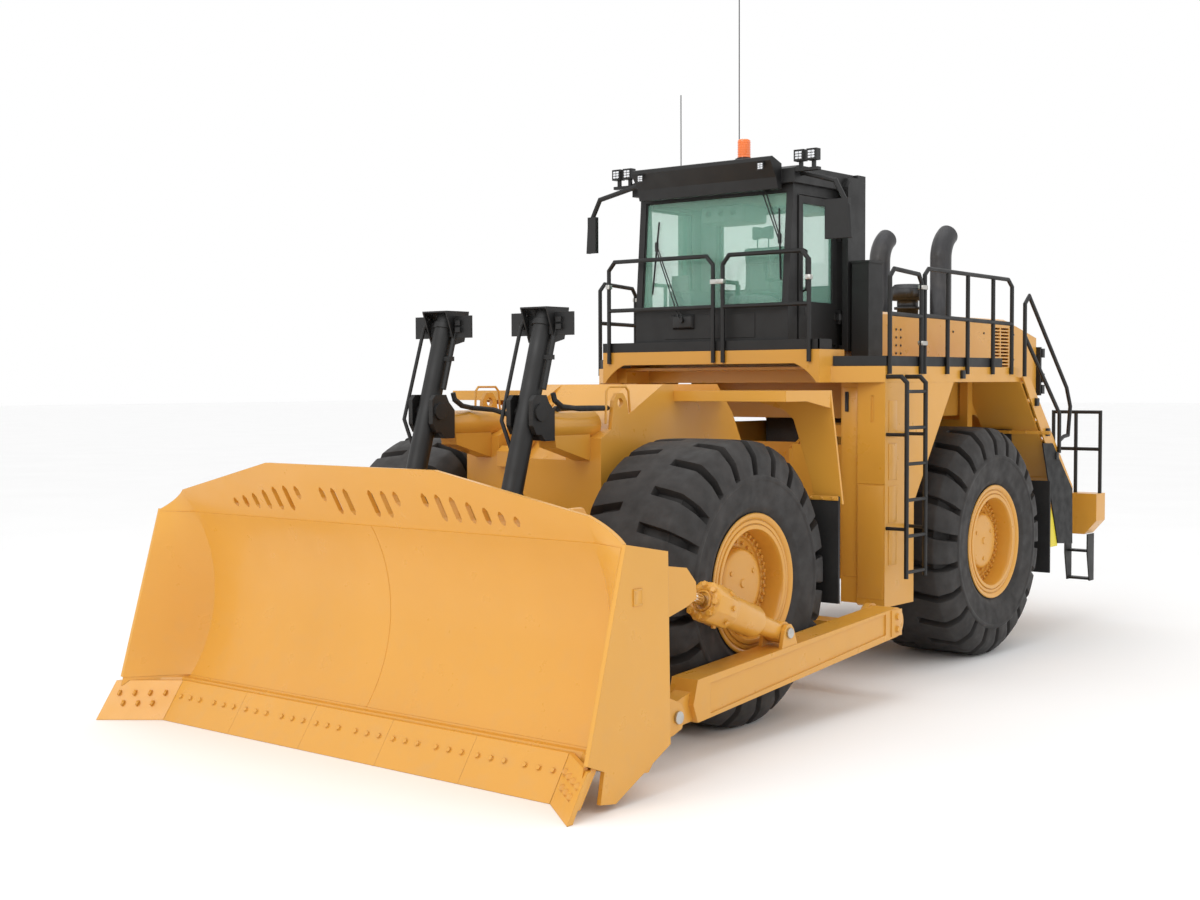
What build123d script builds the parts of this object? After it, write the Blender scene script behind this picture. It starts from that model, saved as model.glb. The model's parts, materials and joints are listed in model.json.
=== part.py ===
from build123d import *
import os
from math import cos, hypot, pi, radians, sin

os.makedirs("parts", exist_ok=True)

# ---------------------------------------------------------------- frame of the model
# Millimetres, +Z up, ground at z = 0. The blade faces -Y and the machine's left side is +X.
# The steering hitch stands on x = 0, y = 0, midway between the axles.

# ---------------------------------------------------------------- driving dimensions
SEAT = 0.3               # curved pieces that touch on one body
RUN = 0.05               # radial running clearance of a shaft
GAP = 8                  # clearance between pieces that move past each other

AXLE_Y = 2300            # each axle's distance from the steering hitch
TRACK_HALF = 1470        # wheel centre from the middle plane
TYRE_R = 1225            # to the lugs' tips
TYRE_SIDES = 44          # flats round a tyre, two for each lug of a shoulder
TREAD_HALF = 455         # flat of the tread, from the tyre's middle
GROOVE_DEPTH = 98
GROOVE_WIDTH = 64
GROOVE_END = 150         # inner end of a groove from the tyre's middle
RIM_SIDES = 32
RIM_SEAT_R = 495         # 39 inch bead seat
RIM_FLANGE_R = 601
RIM_HALF = 520           # rim's outer lip from the wheel's middle
RIM_LIP = 22
RIM_WALL = 28
HUB_R = 345              # planetary hub's drum
WHEEL_DISC_X = 230
WHEEL_DISC_T = 60
SPINDLE_R = 150
SPINDLE_TIP = 60
AXLE_BOWL_X = 330        # half width of the differential bowl
AXLE_BOWL_R = 320
AXLE_TUBE_R = 215
PAD_TOP_Z = 1555         # where the frames rest on the axles

FRONT_PLATE_X = 800      # outer face of the front frame's side plates
REAR_PLATE_X = 640
PLATE_T = 40
FRAME_FRONT = (-2890, 2455)  # (y, z) of the front frame's upper nose
FRAME_TOP = (-2000, 2920)
HITCH_PIN_R = 70
HITCH_Z = (820, 1810)    # lower faces of the front frame's hitch lugs
HITCH_LUG_T = 90
HITCH_GAP = 10
PADS_X = {-1: FRONT_PLATE_X, 1: REAR_PLATE_X}

ARM_PIVOT = (-460, 715)  # (y, z) of the push arms' trunnions
BLADE_PIN = (-3850, 390)  # (y, z) of the pins that join the arms to the blade
ARM_X = 2205             # push arm's middle from the middle plane
ARM_HALF = 125
ARM_PIN_R = 60
LIFT_X = 585             # lift cylinder's middle plane
LIFT_TRUNNION = (-3600, 2690)
LIFT_EYE = (-4174, 750)
LIFT_TUBE_R = 92
LIFT_ROD_R = 60
LIFT_TUBE_UP = 880       # tube's length above its trunnion
LIFT_TUBE_DOWN = 740
YOKE_IN = 102            # inner and outer faces of a yoke's cheeks, from the tube's middle
YOKE_OUT = 150
YOKE_PIN_R = 45
LIFT_ROD_START = 230     # rod's inner end, from the trunnion, at rest
LIFT_HOUSING_Z = 2570
LIFT_HOUSING_R = 122
HOSE_R = 22
PORT = (-50, -2560, 2540)  # oil port in the recess: middle of its front face
HOSE_OUT = 135           # oil hoses' distance beside a lift tube's middle
TILT_BARREL_PIN = (-2275, 840)
TILT_ROD_PIN = (-3675, 1332)
TILT_ROD_R = 48
STEER_FRONT = (360, -110)  # (x, y) of the left steering rod's eye
STEER_REAR = (350, 1150)
STEER_Z = 1370

BLADE_HALF = 2655        # inner face of the end plates
END_PLATE_T = 35
WING_X = 2320            # where the wings start
MOLD_T = 45
MOLD_STEPS = 11          # flats of the moldboard's arc
MOLD_FOOT = (-4952, 274)  # (y, z) of the moldboard's front face, foot to top
MOLD_DEEP = (-4616, 1150)
MOLD_BEND = (-4815, 1790)
MOLD_TOP = (-5105, 2300)
WING_FOOT = (-5379, 274)  # (y, z) of the wings' outer front edge
WING_TOP = (-4797, 2300)
BLADE_BACK_Y = -4425
EDGE_FOOT_Y = -5237      # cutting edge's tip on the ground
EDGE_T = 60
EDGE_TOP_Z = 318

DECK_Z = 3090            # side decks' walking surface
DECK_T = 160
DECK_REAR_Y = 3290
CAB_DECK_Z = 3255
CAB_BASE_Z = 3121        # top of the plinth under the cab's platform
CAB_DECK_Y = -218
CAB_DECK_HALF = 1347
SIDE_X = 1800            # outer face of the side tanks and decks
KICK_H = 100             # kick plate's height over the fascia
KICK_T = 12
CAB_HALF = 950
CAB_FRONT_Y = -60
CAB_FOOT_Y = -150        # front of the panel below the windscreen
CAB_SILL_Z = 3670
CAB_REAR_Y = 1120
CAB_TOP_Z = 4900
CAB_WALL = 55
DOOR_Y = (20, 760)
DOOR_HINGE = (984, 776)  # (x, y) of the door's hinge pins
DOOR_HINGE_Z = (3600, 4450)
DOOR_PIN_R = 12
HOOD_HALF = 1130
HOOD_TOP_Z = 3650
HOOD_FRONT_Y = 1200
HOOD_REAR_Y = 5260
HOOD_WALL = 25
STACK_X = 417
STACK_Y = 4100
STACK_R = 128
STACK_BEND_R = 340
STACK_BEND_Z = 4420
STACK_TURN = 62
BUMPER_Y = 5600
BUMPER_HALF = 1890
TOW_PIN_R = 45
EYE_HOLE_R = 40          # lifting eyes
RAIL_R = 21
LADDER_X = 2020
STAIR_X = (1300, 1850)
STAIR_TOP = (3297, 2985)  # (y, z) of the stairs' lower edge at the deck and at the foot
STAIR_FOOT = (4376, 1663)
STAIR_STEPS = 6
ARCH_TOP = (3292, 2945)  # (y, z) of the rear arch panel's front face, at its top and foot
ARCH_FOOT = (4326, 1733)
FLAP_Y = 3775            # rear face of the rear flaps
LAMP_SIZE = 112
LAMP_XS = (1012, 1158)     # inner faces of the two roof lamps
LAMP_Z = 5095


# ---------------------------------------------------------------- small helpers
def block(x, y, z):
    """A box from three (low, high) pairs."""
    size = [high - low for low, high in (x, y, z)]
    middle = [(high + low) / 2 for low, high in (x, y, z)]
    return Pos(*middle) * Box(*size)


def slab_x(points, x0, x1):
    """An outline of (y, z) points, thick from x0 to x1."""
    return extrude(Plane.YZ.offset(x0) * Polygon(*points, align=None), amount=x1 - x0, dir=(1, 0, 0))


def slab_y(points, y0, y1):
    """An outline of (x, z) points, thick from y0 to y1."""
    return extrude(Plane.XZ.offset(-y1) * Polygon(*points, align=None), amount=y1 - y0, dir=(0, -1, 0))


def slab_z(points, z0, z1):
    """An outline of (x, y) points, thick from z0 to z1."""
    return extrude(Plane.XY.offset(z0) * Polygon(*points, align=None), amount=z1 - z0, dir=(0, 0, 1))


def bar(start, end, radius):
    """A round bar between two points."""
    a, b = Vector(*start), Vector(*end)
    centred = (Align.CENTER, Align.CENTER, Align.MIN)
    return Plane(a, z_dir=b - a) * Cylinder(radius, (b - a).length, align=centred)


def pin_x(y, z, x0, x1, radius):
    """A round bar along X."""
    return bar((x0, y, z), (x1, y, z), radius)


def tube(points, radius=RAIL_R):
    """A bent rail: an eight-sided section along straight runs, mitred at the corners."""
    path = Polyline(*points)
    start = Plane(Vector(*points[0]), z_dir=Vector(*points[1]) - Vector(*points[0]))
    section = start * Rot(Z=22.5) * RegularPolygon(radius, 8, major_radius=False)
    return sweep(section, path=path, transition=Transition.RIGHT)


def turned(stations, sides):
    """A many-sided turned piece about X through (x, radius) stations, a flat facing the ground."""
    sections = []
    for x, radius in stations:
        flat_sided = Rot(Z=180 / sides) * RegularPolygon(radius, sides, major_radius=False)
        sections.append(Plane.YZ.offset(x) * flat_sided)
    return loft(sections, ruled=True)


def both(shape):
    """The shape and its mirror image across the middle plane."""
    return [shape, mirror(shape, Plane.YZ)]


def paired(side, low, high):
    """A (low, high) pair of distances from the middle plane, on one side of it."""
    return sorted((side * low, side * high))


def write(name, *shapes):
    """One node: every solid of the given shapes in one STEP file."""
    solids = [solid for shape in shapes for solid in shape.solids()]
    export_step(solids[0] if len(solids) == 1 else Compound(children=solids), f"parts/{name}.step")


# ---------------------------------------------------------------- wheels
def tyre():
    """A rock tyre about X: a many-sided carcass with deep shoulder grooves, staggered left to right."""
    bead = RIM_HALF - RIM_LIP - SEAT
    half = [(bead, 560), (bead, RIM_FLANGE_R + 12), (RIM_HALF + 24, 720), (565, 860), (550, 1010),
            (TREAD_HALF + 55, 1165), (TREAD_HALF, TYRE_R - 12)]
    stations = [(-x, r) for x, r in half] + [(0, TYRE_R)] + [(x, r) for x, r in reversed(half)]
    carcass = turned(stations, TYRE_SIDES) - Rot(Y=90) * Cylinder(RIM_SEAT_R + SEAT, 1400)
    flare = GROOVE_WIDTH / 2 + 14
    groove_half = GROOVE_WIDTH / 2
    floor_r = TYRE_R - GROOVE_DEPTH
    mouth = [(GROOVE_END, -8), (GROOVE_END + 70, -groove_half), (620, -flare), (620, flare),
             (GROOVE_END + 70, groove_half), (GROOVE_END, 8)]
    groove = extrude(Plane.XY.offset(880) * Polygon(*mouth, align=None), amount=400, dir=(0, 0, 1))
    under = slab_y([(0, 880), (0, floor_r + 26), (GROOVE_END + 80, floor_r), (TREAD_HALF, floor_r - 16),
                    (528, 985), (640, 880)], -100, 100)
    groove = groove - under
    step = 720 / TYRE_SIDES
    cuts = []
    for number in range(TYRE_SIDES // 2):
        cuts.append(Rot(X=number * step) * groove)
        cuts.append(Rot(X=(number + 0.5) * step) * mirror(groove, Plane.YZ))
    return carcass.cut(*cuts)


def rim():
    """The dished rim with lock ring, disc and planetary hub, open behind for the axle's spindle."""
    lip = RIM_HALF - RIM_LIP
    disc_face = WHEEL_DISC_X + WHEEL_DISC_T
    seat_r = RIM_SEAT_R * cos(pi / RIM_SIDES)
    barrel = turned([(-lip, seat_r), (lip, seat_r)], RIM_SIDES)
    flange = turned([(lip, RIM_FLANGE_R - 12), (RIM_HALF, RIM_FLANGE_R)], RIM_SIDES)
    ring_seat = turned([(RIM_HALF - 40, 540), (RIM_HALF + 1, 562)], RIM_SIDES)
    dish = turned([(disc_face, 436), (RIM_HALF - 39, 462), (RIM_HALF + 2, 468)], RIM_SIDES)
    hub = turned([(disc_face - 1, HUB_R), (disc_face + 85, HUB_R - 18), (disc_face + 110, HUB_R - 62)], RIM_SIDES)
    boss = turned([(disc_face + 109, 125), (disc_face + 128, 112)], RIM_SIDES)
    back = turned([(-RIM_HALF - 1, RIM_SEAT_R - RIM_WALL), (WHEEL_DISC_X, RIM_SEAT_R - RIM_WALL)], RIM_SIDES)
    bearing = turned([(-120, 225), (WHEEL_DISC_X + 1, 300)], RIM_SIDES)
    bore = bar((-121, 0, 0), (SPINDLE_TIP + GAP, 0, 0), SPINDLE_R + RUN)
    shell = barrel.fuse(flange, mirror(flange, Plane.YZ)).cut(ring_seat, dish, back)
    return shell.fuse(hub, boss, bearing).cut(bore)


WHEELS = (("front_left", 1, -1), ("front_right", -1, -1), ("rear_left", 1, 1), ("rear_right", -1, 1))


def wheels():
    """Four equal wheels: a right-hand wheel is the left-hand one mirrored."""
    one_tyre, one_rim = tyre(), rim()
    for name, side, end in WHEELS:
        place = Pos(side * TRACK_HALF, end * AXLE_Y, TYRE_R)
        for kind, shape in (("tyre", one_tyre), ("rim", one_rim)):
            write(f"{kind}_{name}", place * (shape if side > 0 else mirror(shape, Plane.YZ)))


# ---------------------------------------------------------------- axles
def axle(end):
    """A banjo axle: a differential bowl, two arms with frame pads and a spindle in each wheel's hub."""
    y = end * AXLE_Y
    plate = PADS_X[end]
    tube_end = TRACK_HALF - 120 - GAP
    housing = turned([(-tube_end, AXLE_TUBE_R), (-900, AXLE_TUBE_R), (-AXLE_BOWL_X, AXLE_BOWL_R),
                      (AXLE_BOWL_X, AXLE_BOWL_R), (900, AXLE_TUBE_R), (tube_end, AXLE_TUBE_R)], 16)
    spindle = pin_x(0, 0, -TRACK_HALF - SPINDLE_TIP, TRACK_HALF + SPINDLE_TIP, SPINDLE_R)
    nose = slab_y([(-170, -120), (-120, -170), (120, -170), (170, -120), (170, 120), (120, 170),
                   (-120, 170), (-170, 120)], 0, 520)
    parts = [spindle, nose if end < 0 else mirror(nose, Plane.XZ)]
    for side in (-1, 1):
        parts.append(block(paired(side, plate - 150, plate), (-190, 190), (-120, PAD_TOP_Z - TYRE_R)))
    return Pos(0, y, TYRE_R) * housing.fuse(*parts)


def axle_room(end):
    """The gap that a frame leaves over its axle, with the pads' tops as its roof."""
    y = end * AXLE_Y
    return block((-1000, 1000), (y - 345, y + 345), (0, PAD_TOP_Z))


# ---------------------------------------------------------------- front frame
def front_frame():
    """A nose of two boxes with a sloping recess between, side plates, hitch lugs and cross beams."""
    inner = FRONT_PLATE_X - PLATE_T
    nose_y, nose_z = FRAME_FRONT
    top_y, top_z = FRAME_TOP
    side = [(nose_y, 1000), FRAME_FRONT, FRAME_TOP, (-1150, top_z), (-900, 2650), (-620, 2150),
            (-330, 2020), (-330, 620), (-620, 480), (-1100, 480), (-1500, 900), (-2500, 900)]
    plate = slab_x(side, inner, FRONT_PLATE_X)
    box_x = (400, inner + 1)
    cap = [FRAME_FRONT, FRAME_TOP, (top_y, top_z - 40), (nose_y, nose_z - 45)]
    parts = []
    for side_ in (-1, 1):
        parts.append(slab_x([(nose_y, 1000), FRAME_FRONT, FRAME_TOP, (top_y, 1000)], *paired(side_, 400, 430)))
        parts.append(slab_x(cap, *paired(side_, *box_x)))
        parts.append(block(paired(side_, *box_x), (nose_y, nose_y + 40), (1000, nose_z - 10)))
    wide = (-inner - 1, inner + 1)
    middle = (-401, 401)
    recess = [(nose_y, 2230), (nose_y + 20, 2230), (top_y, 2885), (top_y, top_z)]
    parts += [
        slab_x(recess, *middle),
        block(middle, (nose_y, nose_y + 40), (1000, 2260)),
        block(wide, (top_y, -1150), (top_z - 40, top_z)),
        block(wide, (-1240, -1200), (900, top_z - 1)),
        block(wide, (-2500, -1100), (900, 940)),
        block(wide, (-370, -330), (620, 1000)),
        block(wide, (-370, -330), (1740, 1990)),
    ]
    parts += hitch_ears()
    parts += lift_housings()
    parts += arm_carriers()
    parts += recess_tubes()
    return plate.fuse(mirror(plate, Plane.YZ), *parts).cut(axle_room(-1))


def hitch_ears():
    """The front frame's two bored hitch lugs and the ears over and under the steering rods' eyes."""
    ears = []
    for low in HITCH_Z:
        lug = [(-420, -330), (420, -330), (150, 60), (60, 130), (-60, 130), (-150, 60)]
        ear = slab_z(lug, low, low + HITCH_LUG_T)
        ears.append(ear - Pos(0, 0, low) * Cylinder(HITCH_PIN_R + RUN, 4 * HITCH_LUG_T))
    for side in (-1, 1):
        x, y = side * STEER_FRONT[0], STEER_FRONT[1]
        for low in (STEER_Z - 100, STEER_Z + 58):
            ear = [(x - 80, y + 80), (x + 80, y + 80), (x + 120, -360), (x - 120, -360)]
            ears.append(slab_z(ear, low, low + 42))
        for x0 in (x - 130, x + 100):
            ears.append(block((x0, x0 + 30), (-370, -330), (990, 1750)))
    return ears


def lift_housings():
    """Round housings that stand out of the nose, each on a box bracket, and carry the yokes."""
    y = LIFT_TRUNNION[0]
    nose_y = FRAME_FRONT[0]
    shapes = []
    for side in (-1, 1):
        x = side * LIFT_X
        shapes.append(bar((x, y + 180, LIFT_HOUSING_Z), (x, nose_y + 120, LIFT_HOUSING_Z), LIFT_HOUSING_R))
        low = LIFT_HOUSING_Z - LIFT_HOUSING_R
        bracket = [(nose_y + 1, low + 40), (y + 240, low + 40), (y + 260, low - 60), (nose_y + 1, low - 190)]
        shapes.append(slab_x(bracket, x - 95, x + 95))
        eye_y, eye_z = -2620, 2760
        plate = slab_x([(eye_y - 130, 2480), (eye_y - 90, eye_z + 20), (eye_y - 40, eye_z + 85),
                        (eye_y + 40, eye_z + 85), (eye_y + 90, eye_z + 20), (eye_y + 130, 2600)],
                       *paired(side, FRONT_PLATE_X - 40, FRONT_PLATE_X))
        shapes.append(plate - pin_x(eye_y, eye_z, side * 700, side * 900, EYE_HOLE_R))
    return shapes


def recess_tubes():
    """Four steel oil pipes that lie on the recess's slope and end in a clamp block."""
    start, end = (-2905, 2290), (-2300, 2736)
    pipes = [tube([(x, *start), (x, *end)], 20) for x in (-330, -265, -200, -135)]
    clamp = slab_x([(-2950, 2180), (-2950, 2320), (-2880, 2370), (-2880, 2200)], -370, -95)
    x, y, z = PORT
    return pipes + [clamp, block((x - 40, x + 40), (y, y + 70), (z - 60, z + 40))]


def arm_carriers():
    """Box beams behind the front tyres that end in the push arms' trunnion pins."""
    y, z = ARM_PIVOT
    inner = ARM_X - ARM_HALF
    beams = []
    for side in (-1, 1):
        beams.append(block(paired(side, FRONT_PLATE_X - 1, inner - 60), (y - 130, y + 130), (440, 680)))
        beams.append(pin_x(y, z, side * (inner - 61), side * (inner - GAP), 155))
        beams.append(pin_x(y, z, side * (inner - 60), side * (ARM_X + ARM_HALF - 30), ARM_PIN_R))
    return beams


def front_fenders():
    """Flat fenders with a raked rear wall, arched round the tyre, hung on the front frame."""
    x0, x1 = FRONT_PLATE_X, 2060
    top = block((x0, x1 - 50), (-1840, -1080), (2835, 2860))
    lip = block((x0, x1 - 50), (-1840, -1822), (2765, 2836))
    valance = slab_x([(-1840, 2840), (-1840, 2765), (-1500, 2765), (-1100, 2700), (-1100, 2840)],
                     x1 - 68, x1 - 50)
    wall_outline = [(x0, 2840), (x1 - 50, 2840), (x1 + 30, 1830), (1800, 1830), (1773, 2036), (1608, 2592),
                    (1514, 2679), (1206, 2761), (x0, 2761)]
    rake = slab_x([(-1106, 2841), (-1080, 2841), (-1000, 1829), (-1026, 1829)], x0, x1 + 40)
    wall = slab_y(wall_outline, -1200, -900) & rake
    return both(top.fuse(lip, valance, wall))


def front_flaps():
    """Rubber flaps bolted under the front fenders' rear walls."""
    return both(block((1500, ARM_X - ARM_HALF - 10), (-1062, -1032), (930, 1900)))


def front_hoses():
    """Oil hoses clamped from each yoke's swivel to the recess, the left one by way of a coil on its housing."""
    rest_z = LIFT_HOUSING_Z + LIFT_HOUSING_R + HOSE_R + SEAT
    shapes = []
    for side in (-1, 1):
        x = side * LIFT_X
        port = [(x + HOSE_OUT, LIFT_TRUNNION[0] + 175, 2850), (x + HOSE_OUT, LIFT_TRUNNION[0] + 195, 2790),
                (x + HOSE_OUT - 10, LIFT_TRUNNION[0] + 300, rest_z + 20)]
        if side > 0:
            coil = [(x + 40 + 150 * cos(angle), -2940 + 300 * sin(angle), rest_z)
                    for angle in (radians(30 * step - 35) for step in range(11))]
            route = port + coil
        else:
            route = port + [(x + 60, -3120, rest_z), (x + 190, -2960, rest_z - 20), (-160, -2800, 2600),
                            (PORT[0], PORT[1] - 120, PORT[2]), (PORT[0], PORT[1] - SEAT, PORT[2])]
        shapes.append(tube(route, HOSE_R))
    return shapes


# ---------------------------------------------------------------- blade and push arms
def blade_section(x, share):
    """A section of the blade: share 0 is the moldboard's outline, share 1 the wings' straight edge."""
    heights = [MOLD_FOOT[1] + (MOLD_BEND[1] - MOLD_FOOT[1]) * step / MOLD_STEPS for step in range(MOLD_STEPS + 1)]
    front = []
    for z in [*heights, MOLD_TOP[1]]:
        along = (z - WING_FOOT[1]) / (WING_TOP[1] - WING_FOOT[1])
        edge_y = WING_FOOT[0] + (WING_TOP[0] - WING_FOOT[0]) * along
        front.append(((1 - share) * moldboard_y(z) + share * edge_y, z))
    back = [(y + MOLD_T, z) for y, z in reversed(front)]
    return Plane.YZ.offset(x) * Polygon(*front, *back, align=None)


def moldboard_y(z):
    """Front face of the moldboard at a height, on its arc below the bend and its line above."""
    (y0, z0), (y1, z1), (y2, z2) = MOLD_FOOT, MOLD_DEEP, MOLD_BEND
    if z > z2:
        return y2 + (MOLD_TOP[0] - y2) * (z - z2) / (MOLD_TOP[1] - z2)
    a, b, c = y1 * y1 + z1 * z1, y0 * y0 + z0 * z0, y2 * y2 + z2 * z2
    twice = 2 * (y0 * (z1 - z2) + y1 * (z2 - z0) + y2 * (z0 - z1))
    centre_y = (b * (z1 - z2) + a * (z2 - z0) + c * (z0 - z1)) / twice
    centre_z = (b * (y2 - y1) + a * (y0 - y2) + c * (y1 - y0)) / twice
    radius = hypot(y0 - centre_y, z0 - centre_z)
    return centre_y + (radius * radius - (z - centre_z) ** 2) ** 0.5


SLOTS = (  # (x, low z, high z) of the openings under the blade's crown, on each side
    (145, 1880, 2095), (292, 1880, 2095), (432, 1980, 2095), (744, 1985, 2095), (890, 1880, 2092),
    (1037, 1880, 2078), (1190, 1880, 2045), (1345, 1880, 2010), (1490, 1880, 1985), (1632, 1880, 1957))


def blade_slots():
    """Upright openings through the crown, each with pointed ends."""
    shapes = []
    for x, low, high in SLOTS:
        w = 28
        outline = [(x - w, low + w), (x - 9, low), (x + 9, low), (x + w, low + w),
                   (x + w, high - w), (x + 9, high), (x - 9, high), (x - w, high - w)]
        shapes += both(slab_y(outline, -5300, -4700))
    return shapes


def blade():
    """The moldboard with its wings, end plates, back boxes and ribs."""
    outer = BLADE_HALF + 1
    board = loft([blade_section(-outer, 1), blade_section(-WING_X, 0), blade_section(WING_X, 0),
                  blade_section(outer, 1)], ruled=True)
    crown = [(-BLADE_HALF, 200), (BLADE_HALF, 200), (BLADE_HALF, 1817), (2334, 2000), (978, 2285),
             (-978, 2285), (-2334, 2000), (-BLADE_HALF, 1817)]
    skin = board & slab_y(crown, -6000, -4000)
    end = [(-4935, 1817), (-4452, 1732), (BLADE_BACK_Y, 340), (-5057, 36), (-5223, 61), (-5180, 281), (-5357, 350)]
    end_plate = slab_x(end, BLADE_HALF, BLADE_HALF + END_PLATE_T)
    parts = both(end_plate)
    span = (-BLADE_HALF, BLADE_HALF)
    lip = [(-5160, 60), (-4965, 330), (-4890, 330), (-5085, 60)]
    parts.append(slab_x(lip, -WING_X, WING_X))
    lip_out = [(y - 310, z) for y, z in lip]
    corner = loft([Plane.YZ.offset(WING_X) * Polygon(*lip, align=None),
                   Plane.YZ.offset(BLADE_HALF) * Polygon(*lip_out, align=None)], ruled=True)
    parts += both(corner)
    parts.append(slab_x([(-4930, 200), (-4640, 170), (-4430, 400), (-4430, 720), (-4620, 800)], *span))
    parts.append(slab_x([(-4640, 1400), (-4460, 1400), (-4460, 1660), (-4740, 1690)], *span))
    for x in (-2150, -1450, -860, -240, 240, 860, 1450, 2150):
        rib = [(-4640, 790), (-4460, 790), (-4460, 1680), (-4860, 2150), (-4930, 2090), (-4770, 1780), (-4600, 1400)]
        parts.append(slab_x(rib, x - 15, x + 15) & slab_y(crown, -6000, -4000))
    return skin.fuse(*parts).cut(*cutting_edge(), *blade_slots())


def blade_brackets(backing):
    """Ears welded to the blade's back for the push arms, tilt rods and lift rods, with the arms' pins."""
    brackets = []
    arm_y, arm_z = BLADE_PIN
    tilt_y, tilt_z = TILT_ROD_PIN
    lift_y, lift_z = LIFT_EYE
    for side in (-1, 1):
        ears = []
        for offset in (-105, 105):
            x = side * ARM_X + offset
            ears.append(slab_x([(-4600, 220), (-4600, 700), (arm_y - 120, 560), (arm_y + 50, arm_z + 100),
                                (arm_y + 95, arm_z), (arm_y + 50, arm_z - 95), (arm_y - 60, arm_z - 130),
                                (-4500, 190)], x - 20, x + 20))
            ears.append(slab_x([(-4600, 1020), (-4640, 1650), (tilt_y - 60, tilt_z + 190),
                                (tilt_y + 60, tilt_z + 70), (tilt_y + 70, tilt_z - 60), (tilt_y - 60, tilt_z - 110)],
                               x - 20, x + 20))
        for offset in (-95, 95):
            x = side * LIFT_X + offset
            ears.append(slab_x([(-4560, 400), (-4600, 1200), (lift_y - 60, lift_z + 95),
                                (lift_y + 70, lift_z + 60), (lift_y + 95, lift_z), (lift_y + 50, lift_z - 110),
                                (-4440, 400)], x - 20, x + 20))
        pin = pin_x(arm_y, arm_z, side * ARM_X - 90, side * ARM_X + 90, ARM_PIN_R)
        brackets.append(pin.fuse(*ears) - backing)
    return brackets


def cutting_edge():
    """Bolt-on edge segments along the foot and an end bit swept forward on each side."""
    foot = [(EDGE_FOOT_Y, 0), (EDGE_FOOT_Y + EDGE_T, 0), (EDGE_FOOT_Y + 258, EDGE_TOP_Z),
            (EDGE_FOOT_Y + 215, EDGE_TOP_Z)]
    half = 2240
    width = 2 * half / 5
    parts = []
    for number in range(5):
        x = -half + number * width
        parts.append(slab_x(foot, x + 1, x + width - 1))
    tip = [(y - 363, z) for y, z in foot]
    inner = Plane.YZ.offset(half + 3) * Polygon(*foot, align=None)
    outer = Plane.YZ.offset(BLADE_HALF + 54) * Polygon(*tip, align=None)
    bit = loft([inner, outer], ruled=True)
    return parts + both(bit)


def push_arm():
    """The left arm: a box beam with a sunk outer panel, an eye at each end and tilt cylinder ears."""
    (y0, z0), (y1, z1) = ARM_PIVOT, BLADE_PIN
    eye = ARM_HALF - 50
    x0, x1 = ARM_X - ARM_HALF, ARM_X + ARM_HALF
    outline = [(y0 + 20, z0 + 135), (y0 + 20, z0 - 135), (y1 + 260, z1 - 85), (y1 + 200, z1 + 60), (y1 + 260, z1 + 250)]
    arm = slab_x(outline, x0, x1)
    sunk = slab_x([(y0 - 190, z0 + 95), (y0 - 190, z0 - 95), (y1 + 430, z1 - 40), (y1 + 430, z1 + 200)], x1 - 14, x1 + 1)
    nose = slab_x([(y1 + 330, z1 + 180), (y1 + 330, z1 - 70), (y1, z1 - 95), (y1, z1 + 95)], ARM_X - eye, ARM_X + eye)
    parts = [pin_x(y0, z0, x0, x1, 137), nose, pin_x(y1, z1, ARM_X - eye, ARM_X + eye, 95)]
    by, bz = TILT_BARREL_PIN
    for offset in (-100, 100):
        ear = [(by - 150, bz - 260), (by - 70, bz + 30), (by - 30, bz + 72), (by + 30, bz + 72), (by + 70, bz + 30),
               (by + 190, bz - 260)]
        parts.append(slab_x(ear, ARM_X + offset - 18, ARM_X + offset + 18))
    parts.append(pin_x(by, bz, ARM_X - 100, ARM_X + 100, 45))
    hinge_bore = pin_x(y0, z0, x0 - 10, x1 - 30, ARM_PIN_R + RUN)
    blade_bore = pin_x(y1, z1, x0 - 10, x1 + 10, ARM_PIN_R + RUN)
    return arm.fuse(*parts).cut(sunk, hinge_bore, blade_bore)


# ---------------------------------------------------------------- hydraulic cylinders
def toward(a, b, distance):
    """The (y, z) point at a distance from a in the direction of b."""
    length = hypot(b[0] - a[0], b[1] - a[1])
    return (a[0] + (b[0] - a[0]) * distance / length, a[1] + (b[1] - a[1]) * distance / length)


def lift_bar(x, start, end, radius):
    """A round bar on a lift cylinder's axis between two distances from its trunnion."""
    ends = [(x, *toward(LIFT_TRUNNION, LIFT_EYE, distance)) for distance in (start, end)]
    return bar(*ends, radius)


def tilt_bar(x, start, end, radius):
    """A round bar on a tilt cylinder's axis between two distances from its barrel pin."""
    ends = [(x, *toward(TILT_BARREL_PIN, TILT_ROD_PIN, distance)) for distance in (start, end)]
    return bar(*ends, radius)


def lift_barrel(x):
    """A lift cylinder's tube with its head rings and the trunnion pins that turn in the yoke."""
    y, z = LIFT_TRUNNION
    parts = [lift_bar(x, -LIFT_TUBE_UP + 80, -LIFT_TUBE_UP + 130, LIFT_TUBE_R + 12),
             lift_bar(x, LIFT_TUBE_DOWN - 50, LIFT_TUBE_DOWN, LIFT_TUBE_R + 12)]
    parts.append(pin_x(y, z, x - YOKE_OUT + 2, x + YOKE_OUT - 2, YOKE_PIN_R))
    shape = lift_bar(x, -LIFT_TUBE_UP, LIFT_TUBE_DOWN, LIFT_TUBE_R).fuse(*parts)
    return shape - lift_bar(x, -LIFT_TUBE_UP + 50, LIFT_TUBE_DOWN + 50, LIFT_ROD_R + RUN)


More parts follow.
